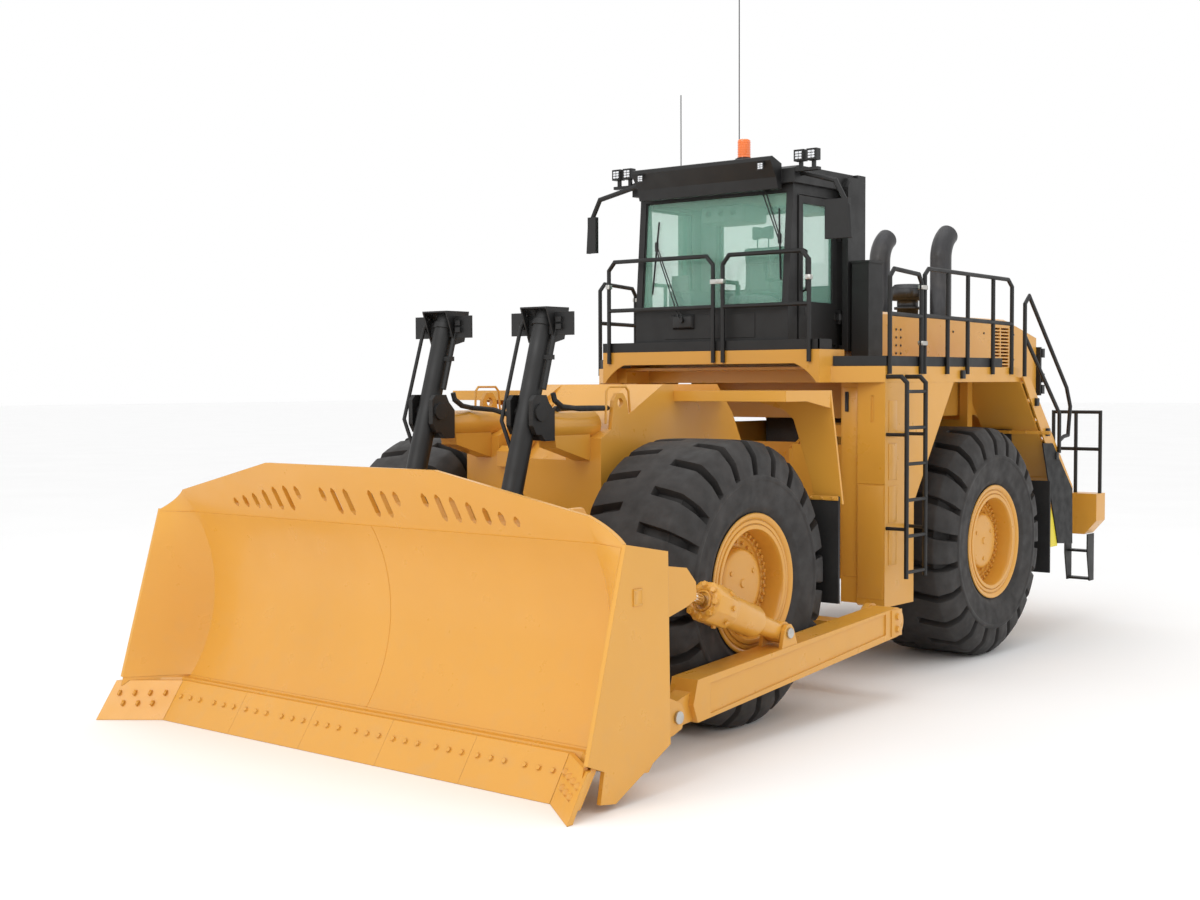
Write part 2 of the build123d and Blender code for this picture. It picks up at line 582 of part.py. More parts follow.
def lift_yoke(x):
    """The forked yoke on the end of a round housing, bored for the lift tube's trunnion pins."""
    y, z = LIFT_TRUNNION
    back = y + 180 - SEAT
    outline = [(y - 95, z - 110), (y - 95, z + 100), (y - 55, z + 145), (y + 75, z + 145), (y + 110, z + 80),
               (back, z + 10), (back, z - 240), (y + 60, z - 240), (y + 10, z - 185), (y - 50, z - 185)]
    shape = block((x - YOKE_IN - 1, x + YOKE_IN + 1), (y + 118, back), (z - 240, z + 5))
    for side in (-1, 1):
        shape = shape.fuse(slab_x(outline, *sorted((x + side * YOKE_IN, x + side * YOKE_OUT))))
    shape = shape - pin_x(y, z, x - YOKE_OUT - 1, x + YOKE_OUT + 1, YOKE_PIN_R + RUN)
    caps = [pin_x(y, z, *sorted((x + side * (YOKE_OUT - 1), x + side * (YOKE_OUT + 18))), 74) for side in (-1, 1)]
    return shape.fuse(*caps)


def lift_bracket(x):
    """The hood bracket on a lift tube's head, its lamp plates and the guard rail beside the tube."""
    top_y, top_z = toward(LIFT_TRUNNION, LIFT_EYE, -LIFT_TUBE_UP)
    cover_z = top_z + 25
    parts = []
    for side in (-1, 1):
        cheek = [(top_y - 165, cover_z), (top_y + 120, cover_z), (top_y + 60, top_z - 230), (top_y - 60, top_z - 260)]
        parts.append(slab_x(cheek, *sorted((x + side * 135, x + side * 150))))
        web = [(top_y - 60, top_z - 60), (top_y + 60, top_z - 60), (top_y + 50, top_z - 190), (top_y - 70, top_z - 190)]
        inner = LIFT_TUBE_R * 0.9
        parts.append(slab_x(web, *sorted((x + side * inner, x + side * 136))))
        parts.append(block(sorted((x + side * 150, x + side * 345)), (top_y - 60, top_y - 40), (top_z - 200, top_z - 5)))
        for low in (0, 60):
            lamp_z = top_z - 150 + low
            parts.append(block(sorted((x + side * 175, x + side * 235)), (top_y - 88, top_y - 59), (lamp_z, lamp_z + 44)))
    roof = block((x - 150, x + 150), (top_y - 165, top_y + 120), (cover_z, cover_z + 14))
    rail_x = x - 190
    low_y, low_z = toward(LIFT_TRUNNION, LIFT_EYE, 330)
    rail = tube([(x - 140, top_y - 90, top_z - 20), (rail_x, top_y - 110, top_z - 120), (rail_x, LIFT_TRUNNION[0] - 110, 2620),
                 (x - LIFT_TUBE_R - 4, low_y, low_z)], 16)
    hose_x = x + HOSE_OUT
    ends = [toward(LIFT_TRUNNION, LIFT_EYE, distance) for distance in (-LIFT_TUBE_UP + 60, -LIFT_TUBE_UP + 130, -200)]
    hose = tube([(x + LIFT_TUBE_R, *ends[0]), (hose_x, *ends[1]), (hose_x, *ends[2])], HOSE_R)
    clamp_y, clamp_z = toward(LIFT_TRUNNION, LIFT_EYE, -480)
    clamp = block((x + LIFT_TUBE_R * 0.9, hose_x + HOSE_R + 6), (clamp_y - 30, clamp_y + 30), (clamp_z - 20, clamp_z + 20))
    shape = roof.fuse(*parts, rail, hose, clamp)
    ring = lift_bar(x, -LIFT_TUBE_UP + 79, -LIFT_TUBE_UP + 131, LIFT_TUBE_R + 12 + SEAT)
    return shape.cut(lift_bar(x, -LIFT_TUBE_UP - 1, LIFT_TUBE_DOWN, LIFT_TUBE_R + SEAT), ring)


def lift_rod(x):
    """A lift cylinder's rod with the eye that hangs between the blade's ears."""
    length = hypot(LIFT_EYE[0] - LIFT_TRUNNION[0], LIFT_EYE[1] - LIFT_TRUNNION[1])
    rod = lift_bar(x, LIFT_ROD_START, length, LIFT_ROD_R)
    return rod.fuse(pin_x(*LIFT_EYE, x - 65, x + 65, 95))


def tilt_barrel(x):
    """A tilt cylinder's stepped barrel with its many-sided bolted head."""
    shape = tilt_bar(x, 0, 620, 78).fuse(tilt_bar(x, 400, 800, 108), pin_x(*TILT_BARREL_PIN, x - 72, x + 72, 90))
    start = (x, *toward(TILT_BARREL_PIN, TILT_ROD_PIN, 760))
    end = (x, *toward(TILT_BARREL_PIN, TILT_ROD_PIN, 1010))
    way = Vector(*end) - Vector(*start)
    head = Plane(Vector(*start), z_dir=way) * extrude(RegularPolygon(148, 8), amount=way.length)
    bore = tilt_bar(x, 130, 1100, TILT_ROD_R + RUN)
    return shape.fuse(head) - bore - pin_x(*TILT_BARREL_PIN, x - 200, x + 200, 45 + RUN)


def tilt_rod(x):
    """A tilt cylinder's rod with the eye that stands between the blade's ears."""
    length = hypot(TILT_ROD_PIN[0] - TILT_BARREL_PIN[0], TILT_ROD_PIN[1] - TILT_BARREL_PIN[1])
    return tilt_bar(x, 560, length, TILT_ROD_R).fuse(pin_x(*TILT_ROD_PIN, x - 70, x + 70, 85))


def tilt_guard():
    """The bent plate on the left arm that shields the tilt cylinder's hoses from below."""
    y, z = TILT_BARREL_PIN
    outline = [(y - 420, z - 120), (y - 900, z + 60), (y - 1010, z + 60), (y - 1010, z + 35), (y - 900, z + 30),
               (y - 420, z - 150), (y - 300, z - 195), (y - 200, z - 195)]
    return slab_x(outline, ARM_X - 115, ARM_X + 115)


def steer_cylinder(side):
    """The barrel on the rear frame and the rod that reaches for the front frame."""
    rear = Vector(side * STEER_REAR[0], STEER_REAR[1], STEER_Z)
    front = Vector(side * STEER_FRONT[0], STEER_FRONT[1], STEER_Z)
    way = (front - rear).normalized()
    barrel = bar(rear, rear + way * 860, 60) + Pos(*rear) * Cylinder(85, 120)
    bore = bar(rear + way * 100, rear + way * 900, 38 + RUN)
    barrel = barrel - bore - Pos(*rear) * Cylinder(40 + RUN, 300)
    rod = bar(rear + way * 450, front, 38) + Pos(*front) * Cylinder(75, 100)
    return barrel, rod


# ---------------------------------------------------------------- rear frame
def rear_frame():
    """Two long side plates with cross members, forked hitch lugs and carriers for tanks and cab."""
    inner = REAR_PLATE_X - PLATE_T
    side = [(420, 950), (420, 2250), (900, 2500), (3300, 2500), (5200, 2000), (5200, 1150), (3400, 1150),
            (2900, 1000), (1700, 1000), (1300, 900)]
    plate = slab_x(side, inner, REAR_PLATE_X)
    wide = (-inner - 1, inner + 1)
    parts = [block(wide, (900, 940), (900, 1150)), block(wide, (900, 940), (1600, 2300)),
             block(wide, (3500, 3540), (1150, 2300)), block(wide, (5160, 5200), (1150, 2000))]
    lug = [(-inner - 1, 940), (inner + 1, 940), (inner + 1, 420), (150, -70), (60, -130), (-60, -130),
           (-150, -70), (-inner - 1, 420)]
    for low in HITCH_Z:
        under, over = low - HITCH_GAP - HITCH_LUG_T, low + HITCH_LUG_T + HITCH_GAP
        parts += [slab_z(lug, under, under + HITCH_LUG_T), slab_z(lug, over, over + HITCH_LUG_T)]
        parts.append(bar((0, 0, under), (0, 0, over + HITCH_LUG_T + 20), HITCH_PIN_R))
    for side_ in (-1, 1):
        x, y = side_ * STEER_REAR[0], STEER_REAR[1]
        for low in (STEER_Z - 110, STEER_Z + 60 + GAP):
            parts.append(block(paired(side_, STEER_REAR[0] - 80, inner + 1), (y - 90, y + 90), (low, low + 42)))
        parts.append(bar((x, y, STEER_Z - 100), (x, y, STEER_Z + 100), 40))
        for y0 in (560, 1260, 3150):
            parts.append(block(paired(side_, REAR_PLATE_X - 1, 1250), (y0, y0 + 120), (2380, 2499)))
            parts.append(block(paired(side_, 1150, 1250), (y0, y0 + 120), (2380, DECK_Z - DECK_T)))
    return plate.fuse(mirror(plate, Plane.YZ), *parts).cut(axle_room(1))


def bumper():
    """The counterweight across the rear, with cut corners and a bored tow hitch."""
    outline = [(-BUMPER_HALF, 1560), (BUMPER_HALF, 1560), (BUMPER_HALF, 1230), (BUMPER_HALF - 150, 1060),
               (-BUMPER_HALF + 150, 1060), (-BUMPER_HALF, 1230)]
    beam = slab_y(outline, 5330, BUMPER_Y)
    core = block((-900, 900), (5200, 5335), (1060, 1900))
    pocket = block((-190, 190), (5480, BUMPER_Y + 1), (1210, 1350))
    pin_hole = bar((0, 5540, 1040), (0, 5540, 1580), TOW_PIN_R)
    return beam.fuse(core).cut(pocket, pin_hole)


def engine():
    """The engine as one plain block on its four feet between the frame plates."""
    inner = REAR_PLATE_X - PLATE_T
    feet = [block((-inner, inner), (y, y + 120), (1650, 1750)) for y in (1850, 3020)]
    return block((-520, 520), (1700, 3300), (1650, 3250)).fuse(*feet)


def side_tanks():
    """The stepped tank and battery boxes under the side decks, with a wing that follows the tyre."""
    top = DECK_Z - DECK_T
    face = [(270, 740), (270, top), (860, top), (860, 720), (300, 720)]
    tank = slab_x(face, 1490, SIDE_X)
    back = block((1290, 1491), (300, 860), (740, top))
    wing = slab_x([(860 - 1, 720), (860 - 1, top), (1720, top), (860, 1720)], SIDE_X - 30, SIDE_X)
    inner = block((REAR_PLATE_X, 1300), (420, 850), (950, 2300))
    handle = block((1640, 1676), (269, 282), (2540, 2800))
    seam = block((1480, SIDE_X + 1), (269, 274), (1925, 1933))
    return both(tank.fuse(back, wing, inner).cut(handle, seam))


def deck():
    """The cab's platform and the side decks as one welded piece, with arched front gussets."""
    low = DECK_Z - DECK_T
    x = CAB_DECK_HALF
    decks = [(-SIDE_X, 270), (-x, 0), (0, 0), (x, 0), (SIDE_X, 270), (SIDE_X, DECK_REAR_Y), (HOOD_HALF, DECK_REAR_Y),
             (HOOD_HALF, HOOD_FRONT_Y), (-HOOD_HALF, HOOD_FRONT_Y), (-HOOD_HALF, DECK_REAR_Y), (-SIDE_X, DECK_REAR_Y)]
    well = block((-x + 150, x - 150), (-1, 400), (low - 1, DECK_Z - 30))
    plinth = block((-1300, 1300), (200, CAB_REAR_Y), (DECK_Z - 1, CAB_BASE_Z))
    floor = [(-x, CAB_DECK_Y), (x, CAB_DECK_Y), (x, 260), (CAB_HALF + 30, 400), (CAB_HALF + 30, CAB_REAR_Y),
             (-CAB_HALF - 30, CAB_REAR_Y), (-CAB_HALF - 30, 400), (-x, 260)]
    parts = [plinth, slab_z(floor, CAB_BASE_Z - 1, CAB_DECK_Z)]
    arch = [Line((1060, 3121), (x, 3121)), Line((x, 3121), (x, low)), Line((x, low), (x - 30, low)),
            ThreePointArc((x - 30, low), (x - 144, 3045), (1060, 3121))]
    gusset = extrude(Plane.XZ.offset(-CAB_DECK_Y) * make_face(arch), amount=18, dir=(0, 1, 0))
    parts += both(gusset)
    parts += both(block((x - 18, x), (CAB_DECK_Y, 40), (low, CAB_BASE_Z)))
    return slab_z(decks, low, DECK_Z).cut(well).fuse(*parts)


def kick_plates():
    """Black toe boards that stand along the edges of the cab platform and the side decks."""
    x, t = CAB_DECK_HALF, KICK_T
    front = block((-x, x), (CAB_DECK_Y, CAB_DECK_Y + t), (CAB_DECK_Z, CAB_DECK_Z + KICK_H))
    shapes = [front]
    for side in (-1, 1):
        shapes.append(block(paired(side, SIDE_X - t, SIDE_X), (290, DECK_REAR_Y - 420), (DECK_Z, DECK_Z + KICK_H)))
        corner = [(side * (x + 8), 32), (side * SIDE_X, 290), (side * (SIDE_X - t), 300), (side * (x + 8), 46)]
        shapes.append(slab_z(corner, DECK_Z, DECK_Z + KICK_H))
        end = block(paired(side, x - t, x), (CAB_DECK_Y, 20), (CAB_DECK_Z, CAB_DECK_Z + KICK_H))
        shapes.append(end)
    return shapes


def louvre(y0, y1, z0, z1, count):
    """Upright openings cut in a hood's side, as tools that reach through one wall."""
    cuts = []
    pitch = (z1 - z0) / count
    for number in range(count):
        low = z0 + number * pitch
        cuts.append(block((HOOD_HALF - HOOD_WALL - 2, HOOD_HALF + 2), (y0, y1), (low, low + pitch * 0.55)))
    return cuts


def hood():
    """The engine hood: side walls, top and sloping tail as one hollow shell open below."""
    rear, front, wall, top = HOOD_REAR_Y, HOOD_FRONT_Y, HOOD_WALL, HOOD_TOP_Z
    outline = [(front, 2550), (front, top), (4450, top), (rear, 3470), (rear, 2010), (rear - 200, 2010), (3600, 2550)]
    inner = [(front + wall, 2500), (front + wall, top - wall), (4445, top - wall), (rear - wall, 3448),
             (rear - wall, 1950), (rear - 210, 1950), (3590, 2500)]
    shell = slab_x(outline, -HOOD_HALF, HOOD_HALF) - slab_x(inner, wall - HOOD_HALF, HOOD_HALF - wall)
    cuts = []
    for low, high in ((4080, 4230), (4260, 4470)):
        cuts += louvre(low, high, 3110, 3590, 12)
    crown = slab_y([(-HOOD_HALF, top - 1), (HOOD_HALF, top - 1), (HOOD_HALF - 60, top + 28), (-HOOD_HALF + 60, top + 28)],
                   front, 4450)
    shell = shell.cut(*cuts, *[mirror(cut, Plane.YZ) for cut in cuts]).fuse(crown)
    return shell


def rear_grille():
    """The radiator guard on the hood's tail: a frame with level slats."""
    y0, y1 = HOOD_REAR_Y, HOOD_REAR_Y + 60
    outer = block((-1000, 1000), (y0, y1), (2050, 3430))
    hole = block((-900, 900), (y0 - 1, y1 + 1), (2150, 3330))
    slats = [block((-901, 901), (y0 + 10, y1 - 10), (z, z + 40)) for z in range(2200, 3300, 115)]
    post = block((-20, 20), (y0 + 5, y1 - 5), (2149, 3331))
    return (outer - hole).fuse(post, *slats)


def exhaust():
    """Two exhaust stacks that curve to the rear and end in open mouths."""
    shapes = []
    base = HOOD_TOP_Z + 28
    turn = radians(STACK_TURN)
    for side in (-1, 1):
        x = side * STACK_X
        bend = [(x, STACK_Y + STACK_BEND_R * (1 - cos(angle)), STACK_BEND_Z + STACK_BEND_R * sin(angle))
                for angle in (turn / 2, turn)]
        path = Line((x, STACK_Y, base), (x, STACK_Y, STACK_BEND_Z)) + ThreePointArc((x, STACK_Y, STACK_BEND_Z), *bend)
        pipe = sweep(Plane((x, STACK_Y, base)) * Circle(STACK_R), path=path)
        end = Vector(*bend[1])
        way = Vector(0, sin(turn), cos(turn))
        mouth = bar(tuple(end - way * 60), tuple(end + way * 10), STACK_R - 16)
        collar = bar((x, STACK_Y, base), (x, STACK_Y, base + 40), STACK_R + 30)
        shapes.append(pipe.fuse(collar) - mouth)
    return shapes


def pre_cleaner():
    """The mushroom air pre-cleaner on its ribbed neck."""
    base = HOOD_TOP_Z + 28
    y = 4050
    shape = bar((0, y, base), (0, y, 3931), 130)
    for low, high, foot_r, top_r in ((3820, 3850, 165, 165), (3930, 3960, 190, 215), (3959, 4075, 215, 215),
                                     (4074, 4125, 215, 160)):
        section = (Plane((0, y, low)) * Circle(foot_r), Plane((0, y, high)) * Circle(top_r))
        shape = shape.fuse(loft(section, ruled=True))
    return shape


# ---------------------------------------------------------------- cab
def cab_shell():
    """The hollow cab: floor pan, posts and sills, with its windows and doorway cut."""
    w = CAB_WALL
    floor = CAB_DECK_Z
    outer = slab_x([(CAB_FOOT_Y, floor), (CAB_FOOT_Y, CAB_SILL_Z), (CAB_FRONT_Y, CAB_TOP_Z - 70), (CAB_FRONT_Y, CAB_TOP_Z),
                    (CAB_REAR_Y, CAB_TOP_Z), (CAB_REAR_Y, floor)], -CAB_HALF, CAB_HALF)
    room = slab_x([(CAB_FOOT_Y + w, floor + 45), (CAB_FOOT_Y + w, CAB_SILL_Z), (CAB_FRONT_Y + w, CAB_TOP_Z - 75),
                   (CAB_FRONT_Y + w, CAB_TOP_Z - w), (CAB_REAR_Y - w, CAB_TOP_Z - w), (CAB_REAR_Y - w, floor + 45)],
                  w - CAB_HALF, CAB_HALF - w)
    reach = 200
    windows = [block((-875, 875), (CAB_FOOT_Y - reach, 40), (CAB_SILL_Z + 20, 4825)),
               block((-700, 700), (CAB_REAR_Y - 100, CAB_REAR_Y + reach), (3950, 4750)),
               block((0, CAB_HALF + reach), DOOR_Y, (floor + 45, 4800)),
               block((-CAB_HALF - reach, 0), (60, 760), (3700, 4760))]
    shell = outer.cut(room, *windows)
    x, y = DOOR_HINGE
    parts = []
    for z in DOOR_HINGE_Z:
        parts.append(bar((x, y, z - 70), (x, y, z + 70), DOOR_PIN_R))
        for low in (z - 70, z + 40):
            parts.append(block((CAB_HALF - 1, x + 14), (y - 14, y + 40), (low, low + 30)))
    panel = block((-560, 560), (CAB_FOOT_Y - 6, CAB_FOOT_Y + 1), (floor + 130, CAB_SILL_Z - 40))
    return shell.fuse(panel, *parts)


def cab_roof():
    """The rollover hoop over the cab's rear, the roof cap and the deep front fascia."""
    hoop = []
    for side in (-1, 1):
        post = [(780, CAB_DECK_Z), (780, 4930), (860, 5030), (1060, 5030), (1130, 4950), (1130, CAB_DECK_Z)]
        hoop.append(slab_x(post, *paired(side, CAB_HALF + 60, CAB_HALF + 130)))
        hoop.append(block(paired(side, CAB_HALF, CAB_HALF + 61), (800, 1110), (4860, 4960)))
        hoop.append(block(paired(side, CAB_HALF, CAB_HALF + 61), (820, 1110), (CAB_DECK_Z, CAB_DECK_Z + 60)))
    cap = slab_x([(-130, CAB_TOP_Z), (-130, 5040), (-60, 5070), (1120, 5070), (1160, 5040), (1160, CAB_TOP_Z)], -1010, 1010)
    fascia = [(-129, 4840), (-129, 5090), (-300, 5150), (-335, 5140), (-335, 5105), (-230, 4950), (-200, 4840)]
    hoop.append(slab_x(fascia, -860, 860))
    gutter = block((-1040, 1040), (1040, 1200), (4905, 5075))
    return cap.fuse(*hoop, gutter)


def pane_frame(y0, y1, z0, z1, x0, x1, border):
    """An upright frame in a YZ plane with a border of one width."""
    outer = block((x0, x1), (y0, y1), (z0, z1))
    return outer - block((x0 - 9, x1 + 9), (y0 + border, y1 - border), (z0 + border, z1 - border))


def cab_glass():
    """The front, rear and right-hand panes, each let into its opening."""
    slope = [(CAB_FOOT_Y + 24, CAB_SILL_Z + 20), (CAB_FOOT_Y + 32, CAB_SILL_Z + 20), (CAB_FRONT_Y + 30, 4825),
             (CAB_FRONT_Y + 22, 4825)]
    front = slab_x(slope, -875, 875)
    rear = block((-700, 700), (CAB_REAR_Y - 36, CAB_REAR_Y - 28), (3950, 4750))
    right = block((-CAB_HALF + 20, -CAB_HALF + 28), (60, 760), (3700, 4760))
    return [front, rear, right]


def cab_door():
    """The left door's frame with its hinge knuckles and handle, hinged at its rear edge."""
    door = pane_frame(DOOR_Y[0] + 12, DOOR_Y[1] - 10, CAB_DECK_Z + 60, 4790, CAB_HALF - 40, CAB_HALF + 12, 75)
    sill = block((CAB_HALF - 40, CAB_HALF + 12), (60, 720), (CAB_DECK_Z + 61, 3740))
    x, y = DOOR_HINGE
    parts = [sill]
    for z in DOOR_HINGE_Z:
        parts.append(block((CAB_HALF + 2, CAB_HALF + 22), (700, y), (z - 32, z + 32)))
        parts.append(bar((x, y, z - 32), (x, y, z + 32), 26))
    bores = [bar((x, y, z - 60), (x, y, z + 60), DOOR_PIN_R + RUN) for z in DOOR_HINGE_Z]
    handle = tube([(CAB_HALF + 10, 110, 3840), (CAB_HALF + 50, 110, 3860), (CAB_HALF + 50, 110, 4240),
                   (CAB_HALF + 10, 110, 4260)], 11)
    return door.fuse(*parts, handle).cut(*bores)


def door_glass():
    """The door's pane."""
    return block((CAB_HALF - 18, CAB_HALF - 10), (DOOR_Y[0] + 87, DOOR_Y[1] - 85), (3740, 4715))


def cab_seat():
    """The operator's suspension seat: pedestal, cushion, tapered back and headrest."""
    floor = CAB_DECK_Z + 45
    pedestal = block((-210, 210), (430, 760), (floor, 3680))
    cushion = slab_x([(330, 3700), (330, 3810), (400, 3840), (820, 3820), (820, 3680), (430, 3679)], -265, 265)
    back = slab_y([(-255, 3790), (255, 3790), (235, 4330), (180, 4400), (-180, 4400), (-235, 4330)], 790, 900)
    headrest = slab_y([(-150, 4440), (150, 4440), (130, 4620), (-130, 4620)], 800, 890)
    posts = [bar((x, 850, 4399), (x, 850, 4441), 10) for x in (-70, 70)]
    arms = [block(paired(side, 264, 320), (470, 800), (3930, 3985)) for side in (-1, 1)]
    struts = [block(paired(side, 253, 300), (760, 800), (3800, 3931)) for side in (-1, 1)]
    return pedestal.fuse(cushion, back, headrest, *posts, *arms, *struts)


def cab_console():
    """The dash shelf with its cowl, the steering lever post and the side console."""
    floor = CAB_DECK_Z + 45
    shelf = slab_x([(CAB_FOOT_Y + CAB_WALL, 3500), (CAB_FOOT_Y + CAB_WALL, 3640), (60, 3700), (120, 3650), (110, 3500)],
                   -700, 700)
    side = block((-700, -420), (100, 900), (floor, 3900))
    screen = block((-640, -420), (70, 100), (3880, 4060))
    return shelf.fuse(side, screen)


# ---------------------------------------------------------------- fittings on the cab and decks
def work_lamps():
    """Square work lamps on brackets at the roof's corners and on the hood's tail."""
    shapes = []
    s = LAMP_SIZE
    for side in (-1, 1):
        shelf = block(paired(side, 1010 + SEAT, LAMP_XS[1] + s), (-125, -60), (5000, 5030))
        heads = [block(paired(side, x, x + s), (-150, -70), (LAMP_Z, LAMP_Z + s)) for x in LAMP_XS]
        necks = [block(paired(side, x + 35, x + 70), (-110, -80), (5029, LAMP_Z + 1)) for x in LAMP_XS]
        shapes.append(shelf.fuse(*heads, *necks))
        tail = block(paired(side, 1000 + SEAT, 1180), (HOOD_REAR_Y + 10, HOOD_REAR_Y + 50), (2760, 3360))
        rear_heads = [block(paired(side, 1080, 1080 + s), (HOOD_REAR_Y + 50, HOOD_REAR_Y + 120), (z, z + s))
                      for z in (2780, 2920, 3230)]
        shapes.append(tail.fuse(*rear_heads))
    return shapes


def beacon():
    """The round beacon on its foot."""
    x, y = 300, 40
    foot = bar((x, y, 5070), (x, y, 5250), 62)
    dome = bar((x, y, 5249), (x, y, 5395), 55)
    return foot, dome


def mirrors():
    """A bent arm with a mirror on the fascia's right end and on the roof's left side."""
    shapes = []
    for side, root, y, inner in ((-1, 860, -200, 1440), (1, 1010, 0, 1290)):
        route = [(root + SEAT, y, 5000 - 5), (root + 40, y, 4995), (1396, y, 4895), (1537, y, 4637), (1557, y, 4328)]
        arm = tube([(side * x, *rest) for x, *rest in route], 24)
        shapes.append(arm.fuse(block(paired(side, inner, 1550), (y - 25, y + 25), (4330, 4715))))
    return shapes


def antennas():
    """Two whip aerials on the roof."""
    masts = []
    for x, y, height in ((-700, 320, 930), (200, 100, 1830)):
        base = tube([(x, y, 5070), (x, y, 5130)], 22)
        masts.append(base.fuse(tube([(x, y, 5129), (x, y, 5070 + height)], 5)))
    return masts


def cabinet():
    """The black service cabinet on the left deck behind the door."""
    body = block((1100, 1298), (820, 1110), (CAB_BASE_Z + SEAT, 4150))
    lid = block((1092, 1306), (812, 1118), (4149, 4175))
    return body.fuse(lid)


def handrails():
    """The rails: across the cab's front, along both decks, down the stairs and round the tail."""
    shapes = []
    fascia_y = CAB_DECK_Y - RAIL_R - SEAT
    top = 4215
    mid = 3700
    foot = CAB_DECK_Z - 120
    rail_x = SIDE_X + RAIL_R + SEAT
    loops = ((-1245, 110), (230, 1245))
    for x0, x1 in loops:
        bend = [(x0, fascia_y, foot), (x0, fascia_y, top - 90), (x0 + 80, fascia_y, top), (x1 - 80, fascia_y, top),
                (x1, fascia_y, top - 90), (x1, fascia_y, foot)]
        shapes.append(tube(bend).fuse(tube([(x0, fascia_y, mid), (x1, fascia_y, mid)])))
    for side in (-1, 1):
        x = side * rail_x
        low = DECK_Z - 78
        gate = tube([(x, 317, low), (x, 317, 3960), (x, 400, 4040), (x, 900, 4010), (x, 960, 3930), (x, 960, low)])
        gate = gate.fuse(tube([(x, 317, 3600), (x, 960, 3590)]))
        run = tube([(x, 1030, low), (x, 1030, 4010), (x, 1110, 4075), (x, 2960, 4055), (x, 3060, 3980), (x, 3060, low)])
        posts = [tube([(x, y, low), (x, y, 4065)]) for y in (1531, 1987, 2591)]
        run = run.fuse(tube([(x, 1030, 3600), (x, 3060, 3570)]), *posts)
        shapes += [gate, run]
        x = side * (STAIR_X[1] + RAIL_R + SEAT)
        stair = tube([(x, 3290, 2990), (x, 3290, 3800), (x, 3400, 3890), (x, 4450, 2860), (x, 4560, 2640), (x, 4500, 2300),
                      (x, 4380, 2290), (x, 4250, 2240)])
        stair = stair.fuse(tube([(x, 3290, 3440), (x, 4250, 2560), (x, 4250, 2100)]))
        shapes.append(stair)
        x0, x1 = side * 1270, side * 1870
        y = BUMPER_Y - 120
        foot = 1560 + SEAT
        tail = tube([(x0, y, foot), (x0, y, 2555), (x1, y, 2555), (x1, y, foot)])
        tail = tail.fuse(tube([(x0, y, 2100), (x1, y, 2100)]), tube([(side * 1560, y, foot), (side * 1560, y, 2555)]))
        shapes.append(tail)
    return shapes


def stairs():
    """A flight on each side from the deck's rear end, with folded treads, and the rear arch panel."""
    (y0, z0), (y1, z1) = STAIR_TOP, STAIR_FOOT
    run, rise = (y1 - y0) / STAIR_STEPS, (z0 - z1) / STAIR_STEPS
    shapes = []
    for side in (-1, 1):
        stringer = [(y0, z0), (y0 + 180, z0), (y1 + 330, z1 + 20), (y1 + 330, z1 - 40), (y1, z1)]
        outer = slab_x(stringer, *paired(side, STAIR_X[1] - 18, STAIR_X[1]))
        parts = [slab_x(stringer, *paired(side, STAIR_X[0], STAIR_X[0] + 18))]
        for number in range(STAIR_STEPS):
            y, z = y0 + 60 + number * run, z0 - 60 - number * rise
            fold = [(y, z), (y, z - 18), (y + run, z - 18), (y + run, z - rise + 30), (y + run + 18, z - rise + 30),
                    (y + run + 18, z)]
            parts.append(slab_x(fold, *paired(side, STAIR_X[0] + 9, STAIR_X[1] - 9)))
        landing = block(paired(side, STAIR_X[0] + 5, SIDE_X), (DECK_REAR_Y + SEAT, y0 + 120), (DECK_Z - DECK_T, z0 - 5))
        panel = [ARCH_TOP, (ARCH_TOP[0] + 36, ARCH_TOP[1]), (ARCH_FOOT[0] + 30, ARCH_FOOT[1] + 20), ARCH_FOOT]
        arch = slab_x(panel, *paired(side, HOOD_HALF + SEAT, STAIR_X[1] - 40))
        shapes.append(outer.fuse(*parts, landing, arch))
    return shapes


def rear_mudflaps():
    """Rubber flaps behind the rear tyres and the grey rubber guards at the stairs' feet."""
    slope = (ARCH_FOOT[1] - ARCH_TOP[1]) / (ARCH_FOOT[0] - ARCH_TOP[0])
    top = ARCH_TOP[1] + (FLAP_Y - ARCH_TOP[0]) * slope - SEAT
    outline = [(1000, 750), (1980, 750), (1980, 1800), (1500, 1800), (1500, top), (1140, top), (1140, 1800), (1000, 1800)]
    guard = [(4087, 2218), (4662, 1658), (4677, 1007), (4262, 1041), (3814, 2226)]
    edge = STAIR_X[1] + SEAT
    return both(slab_y(outline, FLAP_Y - 30, FLAP_Y)) + both(slab_x(guard, edge, edge + 14))


def ladders():
    """The black access ladder on the left tank and the two step ladders under the bumper."""
    x = LADDER_X
    stiles = [tube([(SIDE_X + SEAT, y, 2985), (x - 60, y, 2985), (x, y, 2925), (x, y, 1020)]) for y in (300, 680)]
    rungs = [tube([(x, 300, z), (x, 680, z)], 17) for z in range(1080, 2900, 352)]
    holds = [tube([(SIDE_X + SEAT, y, z), (x, y, z)], 17) for y in (300, 680) for z in (1500, 2420)]
    shapes = [stiles[0].fuse(stiles[1], *rungs, *holds)]
    for side in (-1, 1):
        back = BUMPER_Y - 60
        plate = [(back - 200, 1060 - SEAT), (back, 1060 - SEAT), (back, 480), (back - 130, 480), (back - 200, 820)]
        rails = [slab_x(plate, *paired(side, low, low + 14)) for low in (1480, 1766)]
        steps = [block(paired(side, 1480, 1780), (back - 130, back), (z, z + 25)) for z in (490, 830)]
        shapes.append(rails[0].fuse(rails[1], *steps))
    return shapes


def wheel_chock():
    """The bright chock stowed behind the left rear flap."""
    return slab_x([(4000, 1010), (4000, 1480), (4060, 1500), (4280, 1120), (4270, 1010)], 1600, STAIR_X[1])


